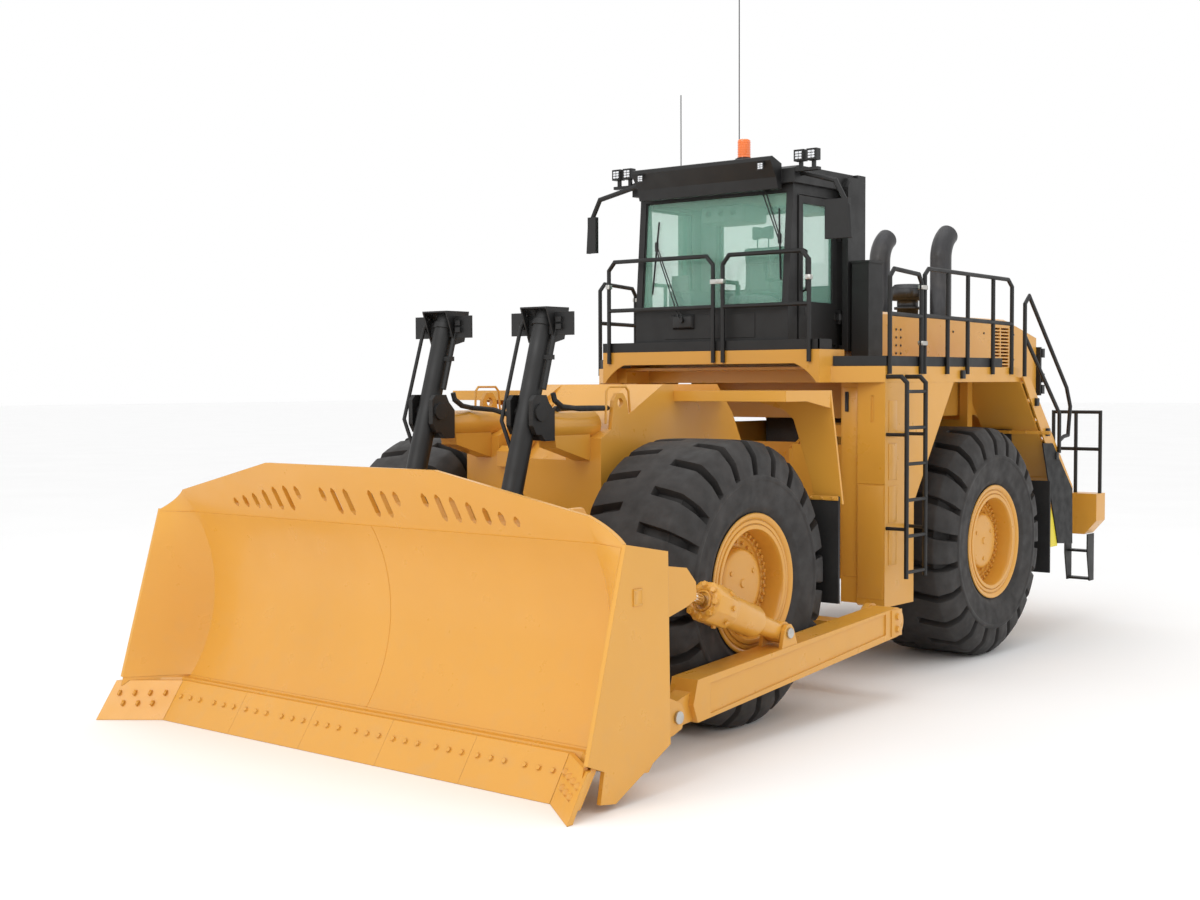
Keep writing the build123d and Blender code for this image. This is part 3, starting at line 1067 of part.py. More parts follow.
def main():
    """Write every node."""
    wheels()
    write("front_axle", axle(-1))
    write("rear_axle", axle(1))
    write("front_frame", front_frame())
    write("front_fenders", *front_fenders())
    write("front_mudflaps", *front_flaps())
    write("front_hoses", *front_hoses())
    board = blade()
    write("blade", board)
    write("blade_brackets", *blade_brackets(board))
    write("cutting_edges", *cutting_edge())
    write("lift_yokes", lift_yoke(LIFT_X), lift_yoke(-LIFT_X))
    arm = push_arm()
    write("push_arm_left", arm)
    write("push_arm_right", mirror(arm, Plane.YZ))
    for name, side in (("left", 1), ("right", -1)):
        write(f"lift_barrel_{name}", lift_barrel(side * LIFT_X))
        write(f"lift_bracket_{name}", lift_bracket(side * LIFT_X))
        write(f"lift_rod_{name}", lift_rod(side * LIFT_X))
        write(f"tilt_barrel_{name}", tilt_barrel(side * ARM_X))
        write(f"tilt_rod_{name}", tilt_rod(side * ARM_X))
        barrel, rod = steer_cylinder(side)
        write(f"steer_barrel_{name}", barrel)
        write(f"steer_rod_{name}", rod)
    write("rear_frame", rear_frame())
    write("bumper", bumper())
    write("engine", engine())
    write("side_tanks", *side_tanks())
    write("deck", deck())
    write("kick_plates", *kick_plates())
    write("hood", hood())
    write("rear_grille", rear_grille())
    write("exhaust", *exhaust(), pre_cleaner())
    write("cab_shell", cab_shell())
    write("cab_roof", cab_roof())
    write("cab_glass", *cab_glass())
    write("cab_door", cab_door())
    write("door_glass", door_glass())
    write("cab_seat", cab_seat())
    write("cab_console", cab_console())
    write("work_lamps", *work_lamps())
    foot, dome = beacon()
    write("beacon", foot.fuse(dome))
    write("mirrors", *mirrors())
    write("antennas", *antennas())
    write("cabinet", cabinet())
    write("handrails", *handrails())
    write("stairs", *stairs())
    write("rear_mudflaps", *rear_mudflaps())
    write("ladders", *ladders())
    write("wheel_chock", wheel_chock())


main()
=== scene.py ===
"""A large wheel dozer: finishes for the carried-over nodes and the detail pieces that ride on them."""

from __future__ import annotations

import json
import logging
import math
from dataclasses import dataclass
from enum import Enum
from typing import Callable, Iterable, Sequence

import bmesh
import bpy
from mathutils import Matrix, Vector

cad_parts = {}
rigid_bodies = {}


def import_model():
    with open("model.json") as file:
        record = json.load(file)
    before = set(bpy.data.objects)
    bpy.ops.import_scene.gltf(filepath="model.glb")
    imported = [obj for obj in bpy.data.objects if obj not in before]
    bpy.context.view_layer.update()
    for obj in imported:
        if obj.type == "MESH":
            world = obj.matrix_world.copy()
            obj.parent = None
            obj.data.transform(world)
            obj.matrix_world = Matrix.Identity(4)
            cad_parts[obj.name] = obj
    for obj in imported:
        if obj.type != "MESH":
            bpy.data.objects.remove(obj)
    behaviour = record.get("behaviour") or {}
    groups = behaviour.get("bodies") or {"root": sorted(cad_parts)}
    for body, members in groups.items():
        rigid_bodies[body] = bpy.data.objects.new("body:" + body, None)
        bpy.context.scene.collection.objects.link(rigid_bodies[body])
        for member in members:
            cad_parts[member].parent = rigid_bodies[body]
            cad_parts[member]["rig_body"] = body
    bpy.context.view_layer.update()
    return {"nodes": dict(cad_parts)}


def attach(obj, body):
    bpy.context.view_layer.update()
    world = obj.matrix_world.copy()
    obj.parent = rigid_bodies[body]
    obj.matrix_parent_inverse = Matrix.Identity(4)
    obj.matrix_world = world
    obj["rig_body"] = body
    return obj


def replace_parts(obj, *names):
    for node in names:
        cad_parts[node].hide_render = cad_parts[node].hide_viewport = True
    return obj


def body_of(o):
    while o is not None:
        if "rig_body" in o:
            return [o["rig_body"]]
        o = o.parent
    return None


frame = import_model()
LOG = logging.getLogger("wheel_dozer")

Point = tuple[float, float, float]
Colour = tuple[float, float, float]
SIDES = (("left", 1), ("right", -1))
UPRIGHT = Matrix.Rotation(math.radians(-90), 4, "Y")  # stands a piece that was turned about X on its end
MERGE_TURNED = 0.0002
MERGE_CAD = 0.00005


class Body(Enum):
    """The moving bodies that pieces ride on."""

    REAR = "rear_frame"
    FRONT = "front_frame"
    ARMS = "push_arms"
    BLADE = "blade"


# ------------------------------------------------------------------------------ mesh bench
def deselect() -> None:
    """Leave nothing selected."""
    if bpy.context.object and bpy.context.object.mode != "OBJECT":
        bpy.ops.object.mode_set(mode="OBJECT")
    bpy.ops.object.select_all(action="DESELECT")


def only(obj: bpy.types.Object) -> bpy.types.Object:
    """Select one object, make it the active one and return it."""
    deselect()
    obj.select_set(True)
    bpy.context.view_layer.objects.active = obj
    return obj


def edit(obj: bpy.types.Object, mode: str = "FACE") -> None:
    """Enter edit mode on an object with one kind of element in use.

    Args:
        obj: The object to edit.
        mode: "VERT", "EDGE" or "FACE".
    """
    only(obj)
    bpy.ops.object.mode_set(mode="EDIT")
    bpy.ops.mesh.select_mode(type=mode)


def done() -> None:
    """Return to object mode."""
    bpy.ops.object.mode_set(mode="OBJECT")


def pick(obj: bpy.types.Object, test: Callable[[Vector, Vector], bool]) -> None:
    """Select the faces whose centre and normal pass a test, in edit mode.

    Args:
        obj: The object in edit mode.
        test: Takes a face's centre and its normal.
    """
    mesh = bmesh.from_edit_mesh(obj.data)
    for face in mesh.faces:
        face.select_set(test(face.calc_center_median(), face.normal))
    bmesh.update_edit_mesh(obj.data)


def settle(obj: bpy.types.Object) -> bpy.types.Object:
    """Apply an object's place, turn and size to its mesh, and return the object."""
    only(obj)
    bpy.ops.object.transform_apply(location=True, rotation=True, scale=True)
    return obj


def bevelled(obj: bpy.types.Object, width: float, segments: int = 2, angle: float = 30.0) -> bpy.types.Object:
    """Round an object's sharp edges and shade it smooth between them.

    Args:
        obj: The object.
        width: The bevel's width in metres.
        segments: Steps across each bevel.
        angle: The least angle of an edge that is rounded, in degrees.

    Returns:
        The same object.
    """
    only(obj)
    modifier = obj.modifiers.new("round", "BEVEL")
    modifier.width = width
    modifier.segments = segments
    modifier.limit_method = "ANGLE"
    modifier.angle_limit = math.radians(angle)
    modifier.harden_normals = False
    bpy.ops.object.modifier_apply(modifier=modifier.name)
    return smooth(obj, angle + 8.0)


def smooth(obj: bpy.types.Object, angle: float = 35.0) -> bpy.types.Object:
    """Shade an object smooth below an angle.

    Args:
        obj: The object.
        angle: Edges sharper than this stay sharp, in degrees.

    Returns:
        The same object.
    """
    only(obj)
    bpy.ops.object.shade_smooth_by_angle(angle=math.radians(angle))
    return obj


def joined(objects: Sequence[bpy.types.Object], name: str) -> bpy.types.Object:
    """Join objects into one.

    Args:
        objects: The objects, at least one.
        name: The name of the result.

    Returns:
        The joined object.
    """
    deselect()
    for obj in objects:
        obj.select_set(True)
    bpy.context.view_layer.objects.active = objects[0]
    if len(objects) > 1:
        bpy.ops.object.join()
    result = bpy.context.view_layer.objects.active
    result.name = name
    result.data.name = name
    return result


def copied(obj: bpy.types.Object, places: Iterable[Matrix], name: str) -> bpy.types.Object:
    """Copy a settled object to many places, each copy with its own mesh, and join the copies.

    Args:
        obj: The pattern. It is used up.
        places: One matrix for each copy.
        name: The name of the result.

    Returns:
        The joined copies.
    """
    made = []
    for place in places:
        copy = obj.copy()
        copy.data = obj.data.copy()
        copy.data.transform(place)
        if place.determinant() < 0:
            copy.data.flip_normals()
        bpy.context.collection.objects.link(copy)
        made.append(copy)
    bpy.data.objects.remove(obj, do_unlink=True)
    return joined(made, name)


def cube(low: Point, high: Point, name: str = "block") -> bpy.types.Object:
    """A box between two corners.

    Args:
        low: The lowest corner.
        high: The highest corner.
        name: The object's name.

    Returns:
        The box, settled.
    """
    deselect()
    middle = [(a + b) / 2 for a, b in zip(low, high)]
    bpy.ops.mesh.primitive_cube_add(size=1.0, location=middle)
    obj = bpy.context.object
    obj.scale = [b - a for a, b in zip(low, high)]
    obj.name = name
    return settle(obj)


def rod(start: Point, end: Point, radius: float, sides: int = 20) -> bpy.types.Object:
    """A round bar between two points.

    Args:
        start: The middle of one end.
        end: The middle of the other end.
        radius: The bar's radius.
        sides: Flats round it.

    Returns:
        The bar, settled.
    """
    deselect()
    a, b = Vector(start), Vector(end)
    turn = (b - a).to_track_quat("Z", "Y").to_euler()
    bpy.ops.mesh.primitive_cylinder_add(
        vertices=sides, radius=radius, depth=(b - a).length, location=(a + b) / 2, rotation=turn
    )
    return settle(bpy.context.object)


def turned(
    profile: Sequence[tuple[float, float]], steps: int, name: str, closed: bool = False
) -> bpy.types.Object:
    """Spin a profile about the X axis.

    Args:
        profile: (x, radius) points in order.
        steps: Steps round the axis.
        name: The object's name.
        closed: Whether the profile's last point joins its first.

    Returns:
        The turned shape with outward faces.
    """
    deselect()
    bpy.ops.mesh.primitive_plane_add(size=0.01, location=(0, 0, 0))
    obj = bpy.context.object
    obj.name = name
    edit(obj, "VERT")
    bpy.ops.mesh.select_all(action="SELECT")
    bpy.ops.mesh.merge(type="CENTER")
    bpy.ops.transform.translate(value=(profile[0][0], 0, profile[0][1]))
    route = list(profile) + ([profile[0]] if closed else [])
    for (x0, r0), (x1, r1) in zip(route, route[1:]):
        bpy.ops.mesh.extrude_region_move(TRANSFORM_OT_translate={"value": (x1 - x0, 0, r1 - r0)})
    bpy.ops.mesh.select_all(action="SELECT")
    bpy.ops.mesh.spin(steps=steps, angle=2 * math.pi, center=(0, 0, 0), axis=(1, 0, 0))
    bpy.ops.mesh.select_all(action="SELECT")
    bpy.ops.mesh.remove_doubles(threshold=MERGE_TURNED)
    bpy.ops.mesh.normals_make_consistent(inside=False)
    done()
    return obj


def pipe(
    points: Sequence[Point], radius: float, name: str, sides: int = 4, smoothed: bool = True
) -> bpy.types.Object:
    """A hose or rail along a route, made from a curve.

    Args:
        points: The route's points.
        radius: The pipe's radius.
        name: The object's name.
        sides: The curve's bevel resolution.
        smoothed: Whether the route is a smooth spline or straight runs.

    Returns:
        The pipe as a mesh.
    """
    deselect()
    curve = bpy.data.curves.new(name, "CURVE")
    curve.dimensions = "3D"
    curve.bevel_depth = radius
    curve.bevel_resolution = sides
    curve.use_fill_caps = True
    spline = curve.splines.new("NURBS" if smoothed else "POLY")
    spline.points.add(len(points) - 1)
    for target, place in zip(spline.points, points):
        target.co = (*place, 1.0)
    if smoothed:
        spline.order_u = 3
        spline.use_endpoint_u = True
        spline.resolution_u = 6
    obj = bpy.data.objects.new(name, curve)
    bpy.context.collection.objects.link(obj)
    only(obj)
    bpy.ops.object.convert(target="MESH")
    return smooth(bpy.context.object, 50.0)


def bolt(radius: float, height: float) -> bpy.types.Object:
    """A hexagon bolt head on a washer, standing along +Z at the origin.

    Args:
        radius: Across the corners of the head, halved.
        height: Height of head and washer.

    Returns:
        The bolt head.
    """
    deselect()
    bpy.ops.mesh.primitive_cylinder_add(vertices=16, radius=radius * 1.25, depth=height * 0.2,
                                        location=(0, 0, height * 0.1))
    washer = bpy.context.object
    deselect()
    bpy.ops.mesh.primitive_cylinder_add(vertices=6, radius=radius, depth=height * 0.8,
                                        location=(0, 0, height * 0.6))
    head = bpy.context.object
    edit(head)
    pick(head, lambda centre, normal: normal.z > 0.9)
    bpy.ops.mesh.inset(thickness=radius * 0.16, depth=0)
    bpy.ops.transform.translate(value=(0, 0, height * 0.08))
    done()
    settle(washer)
    settle(head)
    return joined([washer, head], "bolt_pattern")


def facing(place: Point, normal: Point) -> Matrix:
    """A matrix that stands a +Z piece on a surface.

    Args:
        place: The foot's place.
        normal: The direction in which it stands.

    Returns:
        The matrix.
    """
    return Matrix.Translation(place) @ Vector(normal).to_track_quat("Z", "Y").to_matrix().to_4x4()


def ring(count: int, top: Matrix, shift: float = 0.0) -> list[Matrix]:
    """Places spread evenly round the X axis.

    Args:
        count: How many places.
        top: The place at the top of the ring.
        shift: How far the first place is turned from the top, in steps.

    Returns:
        One matrix for each place.
    """
    return [Matrix.Rotation(math.tau * (i + shift) / count, 4, "X") @ top for i in range(count)]


def handed(obj: bpy.types.Object, name: str, side_name: str, side: int) -> bpy.types.Object:
    """Name a piece made on the left for its side, and turn it into its mirror image on the right.

    Args:
        obj: The piece as it is made on the left.
        name: Its name without the side.
        side_name: "left" or "right".
        side: 1 on the left and -1 on the right.

    Returns:
        The same piece, on its side.
    """
    if side < 0:
        obj.data.transform(Matrix.Scale(-1, 4, (1, 0, 0)))
        obj.data.flip_normals()
    obj.name = f"{name}_{side_name}"
    return obj


def both(name: str) -> tuple[str, str]:
    """The left and right node of one name."""
    return f"{name}_left", f"{name}_right"


def refined(node: str, angle: float) -> bpy.types.Object:
    """A merged copy of a CAD node's mesh, shaded smooth, that stands for the node.

    Args:
        node: The node's name.
        angle: Edges sharper than this stay sharp, in degrees.

    Returns:
        The copy, which replaces the node.
    """
    source = frame["nodes"][node]
    copy = bpy.data.objects.new(f"{node}_skin", source.data.copy())
    bpy.context.collection.objects.link(copy)
    edit(copy, "VERT")
    bpy.ops.mesh.select_all(action="SELECT")
    bpy.ops.mesh.remove_doubles(threshold=MERGE_CAD)
    done()
    smooth(copy, angle)
    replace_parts(copy, node)
    return copy


# ------------------------------------------------------------------------------ finishes
class Shader:
    """A material's node tree under construction, with helpers that keep each link on one line."""

    def __init__(self, name: str) -> None:
        """Start a material with its output and principled shader.

        Args:
            name: The material's name.
        """
        self.material = bpy.data.materials.new(name)
        self.material.use_nodes = True
        self.tree = self.material.node_tree
        self.tree.nodes.clear()
        self.output = self.tree.nodes.new("ShaderNodeOutputMaterial")
        self.surface = self.tree.nodes.new("ShaderNodeBsdfPrincipled")
        self.link(self.surface.outputs["BSDF"], self.output.inputs["Surface"])
        self.coordinates = self.tree.nodes.new("ShaderNodeTexCoord").outputs["Object"]

    def link(self, source: bpy.types.NodeSocket, target: bpy.types.NodeSocket) -> None:
        """Join two sockets."""
        self.tree.links.new(source, target)

    def feed(self, name: str, value: bpy.types.NodeSocket) -> None:
        """Drive one of the principled shader's own sockets."""
        self.link(value, self.surface.inputs[name])

    def noise(self, scale: float, detail: float = 3.0, stretch: Point = (1, 1, 1)) -> bpy.types.NodeSocket:
        """Noise on object coordinates.

        Args:
            scale: Blobs to a metre.
            detail: Octaves.
            stretch: The pattern's scale along each axis.

        Returns:
            The noise value's socket.
        """
        mapping = self.tree.nodes.new("ShaderNodeMapping")
        mapping.inputs["Scale"].default_value = stretch
        self.link(self.coordinates, mapping.inputs["Vector"])
        node = self.tree.nodes.new("ShaderNodeTexNoise")
        node.inputs["Scale"].default_value = scale
        node.inputs["Detail"].default_value = detail
        self.link(mapping.outputs["Vector"], node.inputs["Vector"])
        return node.outputs["Fac"]

    def ranged(
        self, value: bpy.types.NodeSocket, low: float, high: float, to: tuple[float, float]
    ) -> bpy.types.NodeSocket:
        """Map a value from one range to another, clamped.

        Args:
            value: The value's socket.
            low: The source range's start.
            high: The source range's end.
            to: The result's range.

        Returns:
            The result's socket.
        """
        node = self.tree.nodes.new("ShaderNodeMapRange")
        node.inputs["From Min"].default_value = low
        node.inputs["From Max"].default_value = high
        node.inputs["To Min"].default_value = to[0]
        node.inputs["To Max"].default_value = to[1]
        self.link(value, node.inputs["Value"])
        return node.outputs["Result"]

    def product(self, first: bpy.types.NodeSocket, second: bpy.types.NodeSocket) -> bpy.types.NodeSocket:
        """The product of two values."""
        node = self.tree.nodes.new("ShaderNodeMath")
        node.operation = "MULTIPLY"
        self.link(first, node.inputs[0])
        self.link(second, node.inputs[1])
        return node.outputs["Value"]

    def height(self) -> bpy.types.NodeSocket:
        """The height above the ground of a point at rest."""
        node = self.tree.nodes.new("ShaderNodeSeparateXYZ")
        self.link(self.coordinates, node.inputs["Vector"])
        return node.outputs["Z"]

    def blended(
        self,
        share: bpy.types.NodeSocket,
        first: Colour | bpy.types.NodeSocket,
        second: Colour | bpy.types.NodeSocket,
    ) -> bpy.types.NodeSocket:
        """Mix two colours.

        Args:
            share: How much of the second colour shows.
            first: A colour or a colour socket.
            second: A colour or a colour socket.

        Returns:
            The colour's socket.
        """
        node = self.tree.nodes.new("ShaderNodeMix")
        node.data_type = "RGBA"
        self.link(share, node.inputs["Factor"])
        for socket, value in (("A", first), ("B", second)):
            target = [i for i in node.inputs if i.name == socket and i.type == "RGBA"][0]
            if isinstance(value, tuple):
                target.default_value = (*value, 1.0)
            else:
                self.link(value, target)
        return [o for o in node.outputs if o.type == "RGBA"][0]

    def relief(self, height: bpy.types.NodeSocket, strength: float, depth: float, edge: float = 0.0) -> None:
        """Raise the surface by a height value, over softened edges where asked.

        Args:
            height: The height's socket.
            strength: The bump's strength.
            depth: The bump's distance in metres.
            edge: The radius of softened edges in metres, or 0 for none.
        """
        bump = self.tree.nodes.new("ShaderNodeBump")
        bump.inputs["Strength"].default_value = strength
        bump.inputs["Distance"].default_value = depth
        self.link(height, bump.inputs["Height"])
        if edge > 0:
            soft = self.tree.nodes.new("ShaderNodeBevel")
            soft.samples = 4
            soft.inputs["Radius"].default_value = edge
            self.link(soft.outputs["Normal"], bump.inputs["Normal"])
        self.link(bump.outputs["Normal"], self.surface.inputs["Normal"])

    def set(self, **values: float | tuple[float, ...]) -> None:
        """Set constants on the principled shader's own sockets, underscores for spaces."""
        for name, value in values.items():
            self.surface.inputs[name.replace("_", " ")].default_value = value


@dataclass(frozen=True)
class Paint:
    """Sprayed enamel with slight fading, fine peel, dust low down and softened edges."""

    name: str
    colour: Colour
    faded: Colour
    dust: Colour = (0.42, 0.33, 0.22)
    roughness: float = 0.32
    coat: float = 0.35
    edge: float = 0.006

    def build(self) -> bpy.types.Material:
        """Make the painted finish's material."""
        shader = Shader(self.name)
        broad = shader.ranged(shader.noise(0.9, 4.0), 0.35, 0.7, (0.0, 1.0))
        body = shader.blended(broad, self.colour, self.faded)
        low = shader.ranged(shader.height(), 1.7, 0.1, (0.0, 1.0))
        spots = shader.ranged(shader.noise(7.0, 6.0), 0.5, 0.75, (0.0, 0.10))
        colour = shader.blended(shader.product(low, spots), body, self.dust)
        shader.feed("Base Color", colour)
        matt = (self.roughness - 0.06, self.roughness + 0.12)
        sheen = shader.ranged(shader.noise(5.0, 5.0), 0.3, 0.75, matt)
        shader.feed("Roughness", sheen)
        shader.relief(shader.noise(210.0, 2.0), 0.10, 0.0006, self.edge)
        shader.set(Coat_Weight=self.coat, Coat_Roughness=0.12)
        return shader.material


@dataclass(frozen=True)
class Rubber:
    """Moulded rubber, matt and slightly mottled, greyer where it wears."""

    name: str
    colour: Colour
    worn: Colour
    grain: float = 90.0
    roughness: float = 0.72

    def build(self) -> bpy.types.Material:
        """Make the rubber finish's material."""
        shader = Shader(self.name)
        patches = shader.ranged(shader.noise(3.2, 7.0), 0.42, 0.72, (0.0, 0.85))
        colour = shader.blended(patches, self.colour, self.worn)
        shader.feed("Base Color", colour)
        matt = (self.roughness - 0.14, self.roughness + 0.12)
        sheen = shader.ranged(shader.noise(9.0, 5.0), 0.3, 0.7, matt)
        shader.feed("Roughness", sheen)
        shader.relief(shader.noise(self.grain, 5.0), 0.35, 0.0016)
        return shader.material


@dataclass(frozen=True)
class Metal:
    """Bare metal: chrome, machined steel or heat-darkened steel."""

    name: str
    colour: Colour
    stained: Colour
    roughness: float
    metallic: float = 1.0
    brushed: Point = (1, 1, 1)

    def build(self) -> bpy.types.Material:
        """Make the metal finish's material."""
        shader = Shader(self.name)
        stains = shader.ranged(shader.noise(4.0, 6.0), 0.45, 0.75, (0.0, 0.8))
        colour = shader.blended(stains, self.colour, self.stained)
        shader.feed("Base Color", colour)
        streaks = shader.noise(60.0, 4.0, self.brushed)
        sheen = shader.ranged(streaks, 0.3, 0.7, (self.roughness * 0.75, self.roughness * 1.35))
        shader.feed("Roughness", sheen)
        shader.relief(streaks, 0.08, 0.0004)
        shader.set(Metallic=self.metallic)
        return shader.material


@dataclass(frozen=True)
class Glazing:
    """Tinted glass that shows what is behind it."""

    name: str
    colour: Colour
    alpha: float
    roughness: float = 0.04
    glow: float = 0.0

    def build(self) -> bpy.types.Material:
        """Make the glass finish's material."""
        shader = Shader(self.name)
        haze = shader.ranged(shader.noise(2.2, 5.0), 0.35, 0.75, (self.roughness, self.roughness + 0.06))
        shader.feed("Roughness", haze)
        tint = shader.ranged(shader.noise(1.4, 3.0), 0.3, 0.7, (0.0, 0.25))
        paler = tuple(min(1.0, part * 1.12) for part in self.colour)
        shader.feed("Base Color", shader.blended(tint, self.colour, paler))
        shader.relief(shader.noise(3.0, 2.0), 0.02, 0.0005)
        shader.set(Alpha=self.alpha, Coat_Weight=1.0, Coat_Roughness=0.02, IOR=1.5)
        if self.glow > 0:
            shader.set(Emission_Color=(*self.colour, 1.0), Emission_Strength=self.glow)
        return shader.material


@dataclass(frozen=True)
class Cloth:
    """Woven seat cloth with a fine over-and-under weave."""

    name: str
    colour: Colour
    thread: Colour
    pitch: float = 260.0

    def build(self) -> bpy.types.Material:
        """Make the woven finish's material."""
        shader = Shader(self.name)
        wave = shader.tree.nodes.new("ShaderNodeTexWave")
        wave.inputs["Scale"].default_value = self.pitch
        wave.inputs["Distortion"].default_value = 1.5
        shader.link(shader.coordinates, wave.inputs["Vector"])
        weave = shader.product(wave.outputs["Fac"], shader.noise(self.pitch, 2.0))
        colour = shader.blended(shader.ranged(weave, 0.1, 0.6, (0.0, 1.0)), self.colour, self.thread)
        shader.feed("Base Color", colour)
        shader.relief(weave, 0.5, 0.0015)
        shader.set(Roughness=0.92, Sheen_Weight=0.3)
        return shader.material


class Finish(Enum):
    """Every finish on the machine."""

    YELLOW = Paint("yellow_enamel", (0.715, 0.350, 0.047), (0.680, 0.330, 0.044), coat=0.2)
    BLACK = Paint("black_enamel", (0.006, 0.006, 0.006), (0.009, 0.009, 0.009), roughness=0.50, coat=0.0)
    CHOCK = Paint("chock_yellow", (0.85, 0.72, 0.03), (0.80, 0.66, 0.03), roughness=0.45, coat=0.1)
    TYRE = Rubber("tyre_rubber", (0.022, 0.020, 0.019), (0.040, 0.036, 0.034))
    RUBBER = Rubber("black_rubber", (0.012, 0.012, 0.012), (0.020, 0.020, 0.020), grain=160.0)
    PLASTIC = Rubber("moulded_plastic", (0.009, 0.009, 0.009), (0.014, 0.014, 0.014), 400.0, 0.5)
    TRIM = Rubber("grey_cab_trim", (0.17, 0.18, 0.18), (0.13, 0.14, 0.14), grain=300.0, roughness=0.6)
    CHROME = Metal("chromed_rod", (0.86, 0.87, 0.88), (0.74, 0.75, 0.77), 0.10)
    STEEL = Metal("zinc_steel", (0.58, 0.57, 0.54), (0.40, 0.38, 0.34), 0.34)
    STACK = Metal("stack_steel", (0.055, 0.055, 0.058), (0.085, 0.082, 0.080), 0.42, 0.6, (1, 1, 0.1))
    IRON = Metal("cast_iron", (0.09, 0.085, 0.08), (0.14, 0.12, 0.10), 0.55, 0.5)
    GLASS = Glazing("tinted_glass", (0.34, 0.72, 0.56), 0.24)
    LENS = Glazing("lamp_lens", (0.85, 0.88, 0.92), 0.85, 0.12, 0.12)
    AMBER = Glazing("amber_lens", (0.90, 0.17, 0.004), 0.96, 0.2, 0.12)
    MIRROR = Metal("mirror_glass", (0.80, 0.82, 0.84), (0.72, 0.74, 0.76), 0.04)
    CLOTH = Cloth("seat_cloth", (0.09, 0.095, 0.10), (0.17, 0.175, 0.18))

    @property
    def material(self) -> bpy.types.Material:
        """The finish's material, made on first use."""
        found = bpy.data.materials.get(self.value.name)
        return found or self.value.build()


def dress(obj: bpy.types.Object, finish: Finish) -> None:
    """Give an object one finish."""
    obj.data.materials.clear()
    obj.data.materials.append(finish.material)


def fit(obj: bpy.types.Object, finish: Finish, body: Body | str) -> None:
    """Finish a piece, put it on its body and log it.

    Args:
        obj: The piece, settled.
        finish: Its finish.
        body: The body that it rides on.
    """
    dress(obj, finish)
    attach(obj, body.value if isinstance(body, Body) else body)
    LOG.info("piece %s on %s", obj.name, body)


# ------------------------------------------------------------------------------ carried-over nodes
CARRIED: dict[Finish, tuple[str, ...]] = {
    Finish.YELLOW: (
        "front_frame", "front_fenders", *both("push_arm"), "rear_frame", "bumper", "side_tanks", "deck",
        "stairs", "front_axle", "rear_axle", "hood", "cutting_edges", "blade_brackets", "blade",
    ),
    Finish.BLACK: (
        "rear_grille", "cab_shell", "cab_roof", "cab_door", "ladders", "handrails", "kick_plates",
        "mirrors", "cabinet", *both("lift_bracket"), *both("steer_barrel"), *both("lift_barrel"),
        "work_lamps", "lift_yokes",
    ),
    Finish.CHROME: (*both("lift_rod"), *both("tilt_rod"), *both("steer_rod")),
    Finish.RUBBER: ("front_mudflaps", "rear_mudflaps", "antennas", "front_hoses"),
    Finish.IRON: ("engine",),
    Finish.GLASS: ("cab_glass", "door_glass"),
    Finish.TRIM: ("cab_console",),
    Finish.CHOCK: ("wheel_chock",),
    Finish.AMBER: ("beacon",),
}
EXHAUST_CREASE = 40.0


def dress_carried() -> None:
    """Finish the nodes that keep their CAD shape, and give the curved exhaust a smooth skin."""
    for finish, nodes in CARRIED.items():
        for node in nodes:
            dress(frame["nodes"][node], finish)
    fit(refined("exhaust", EXHAUST_CREASE), Finish.STACK, Body.REAR)


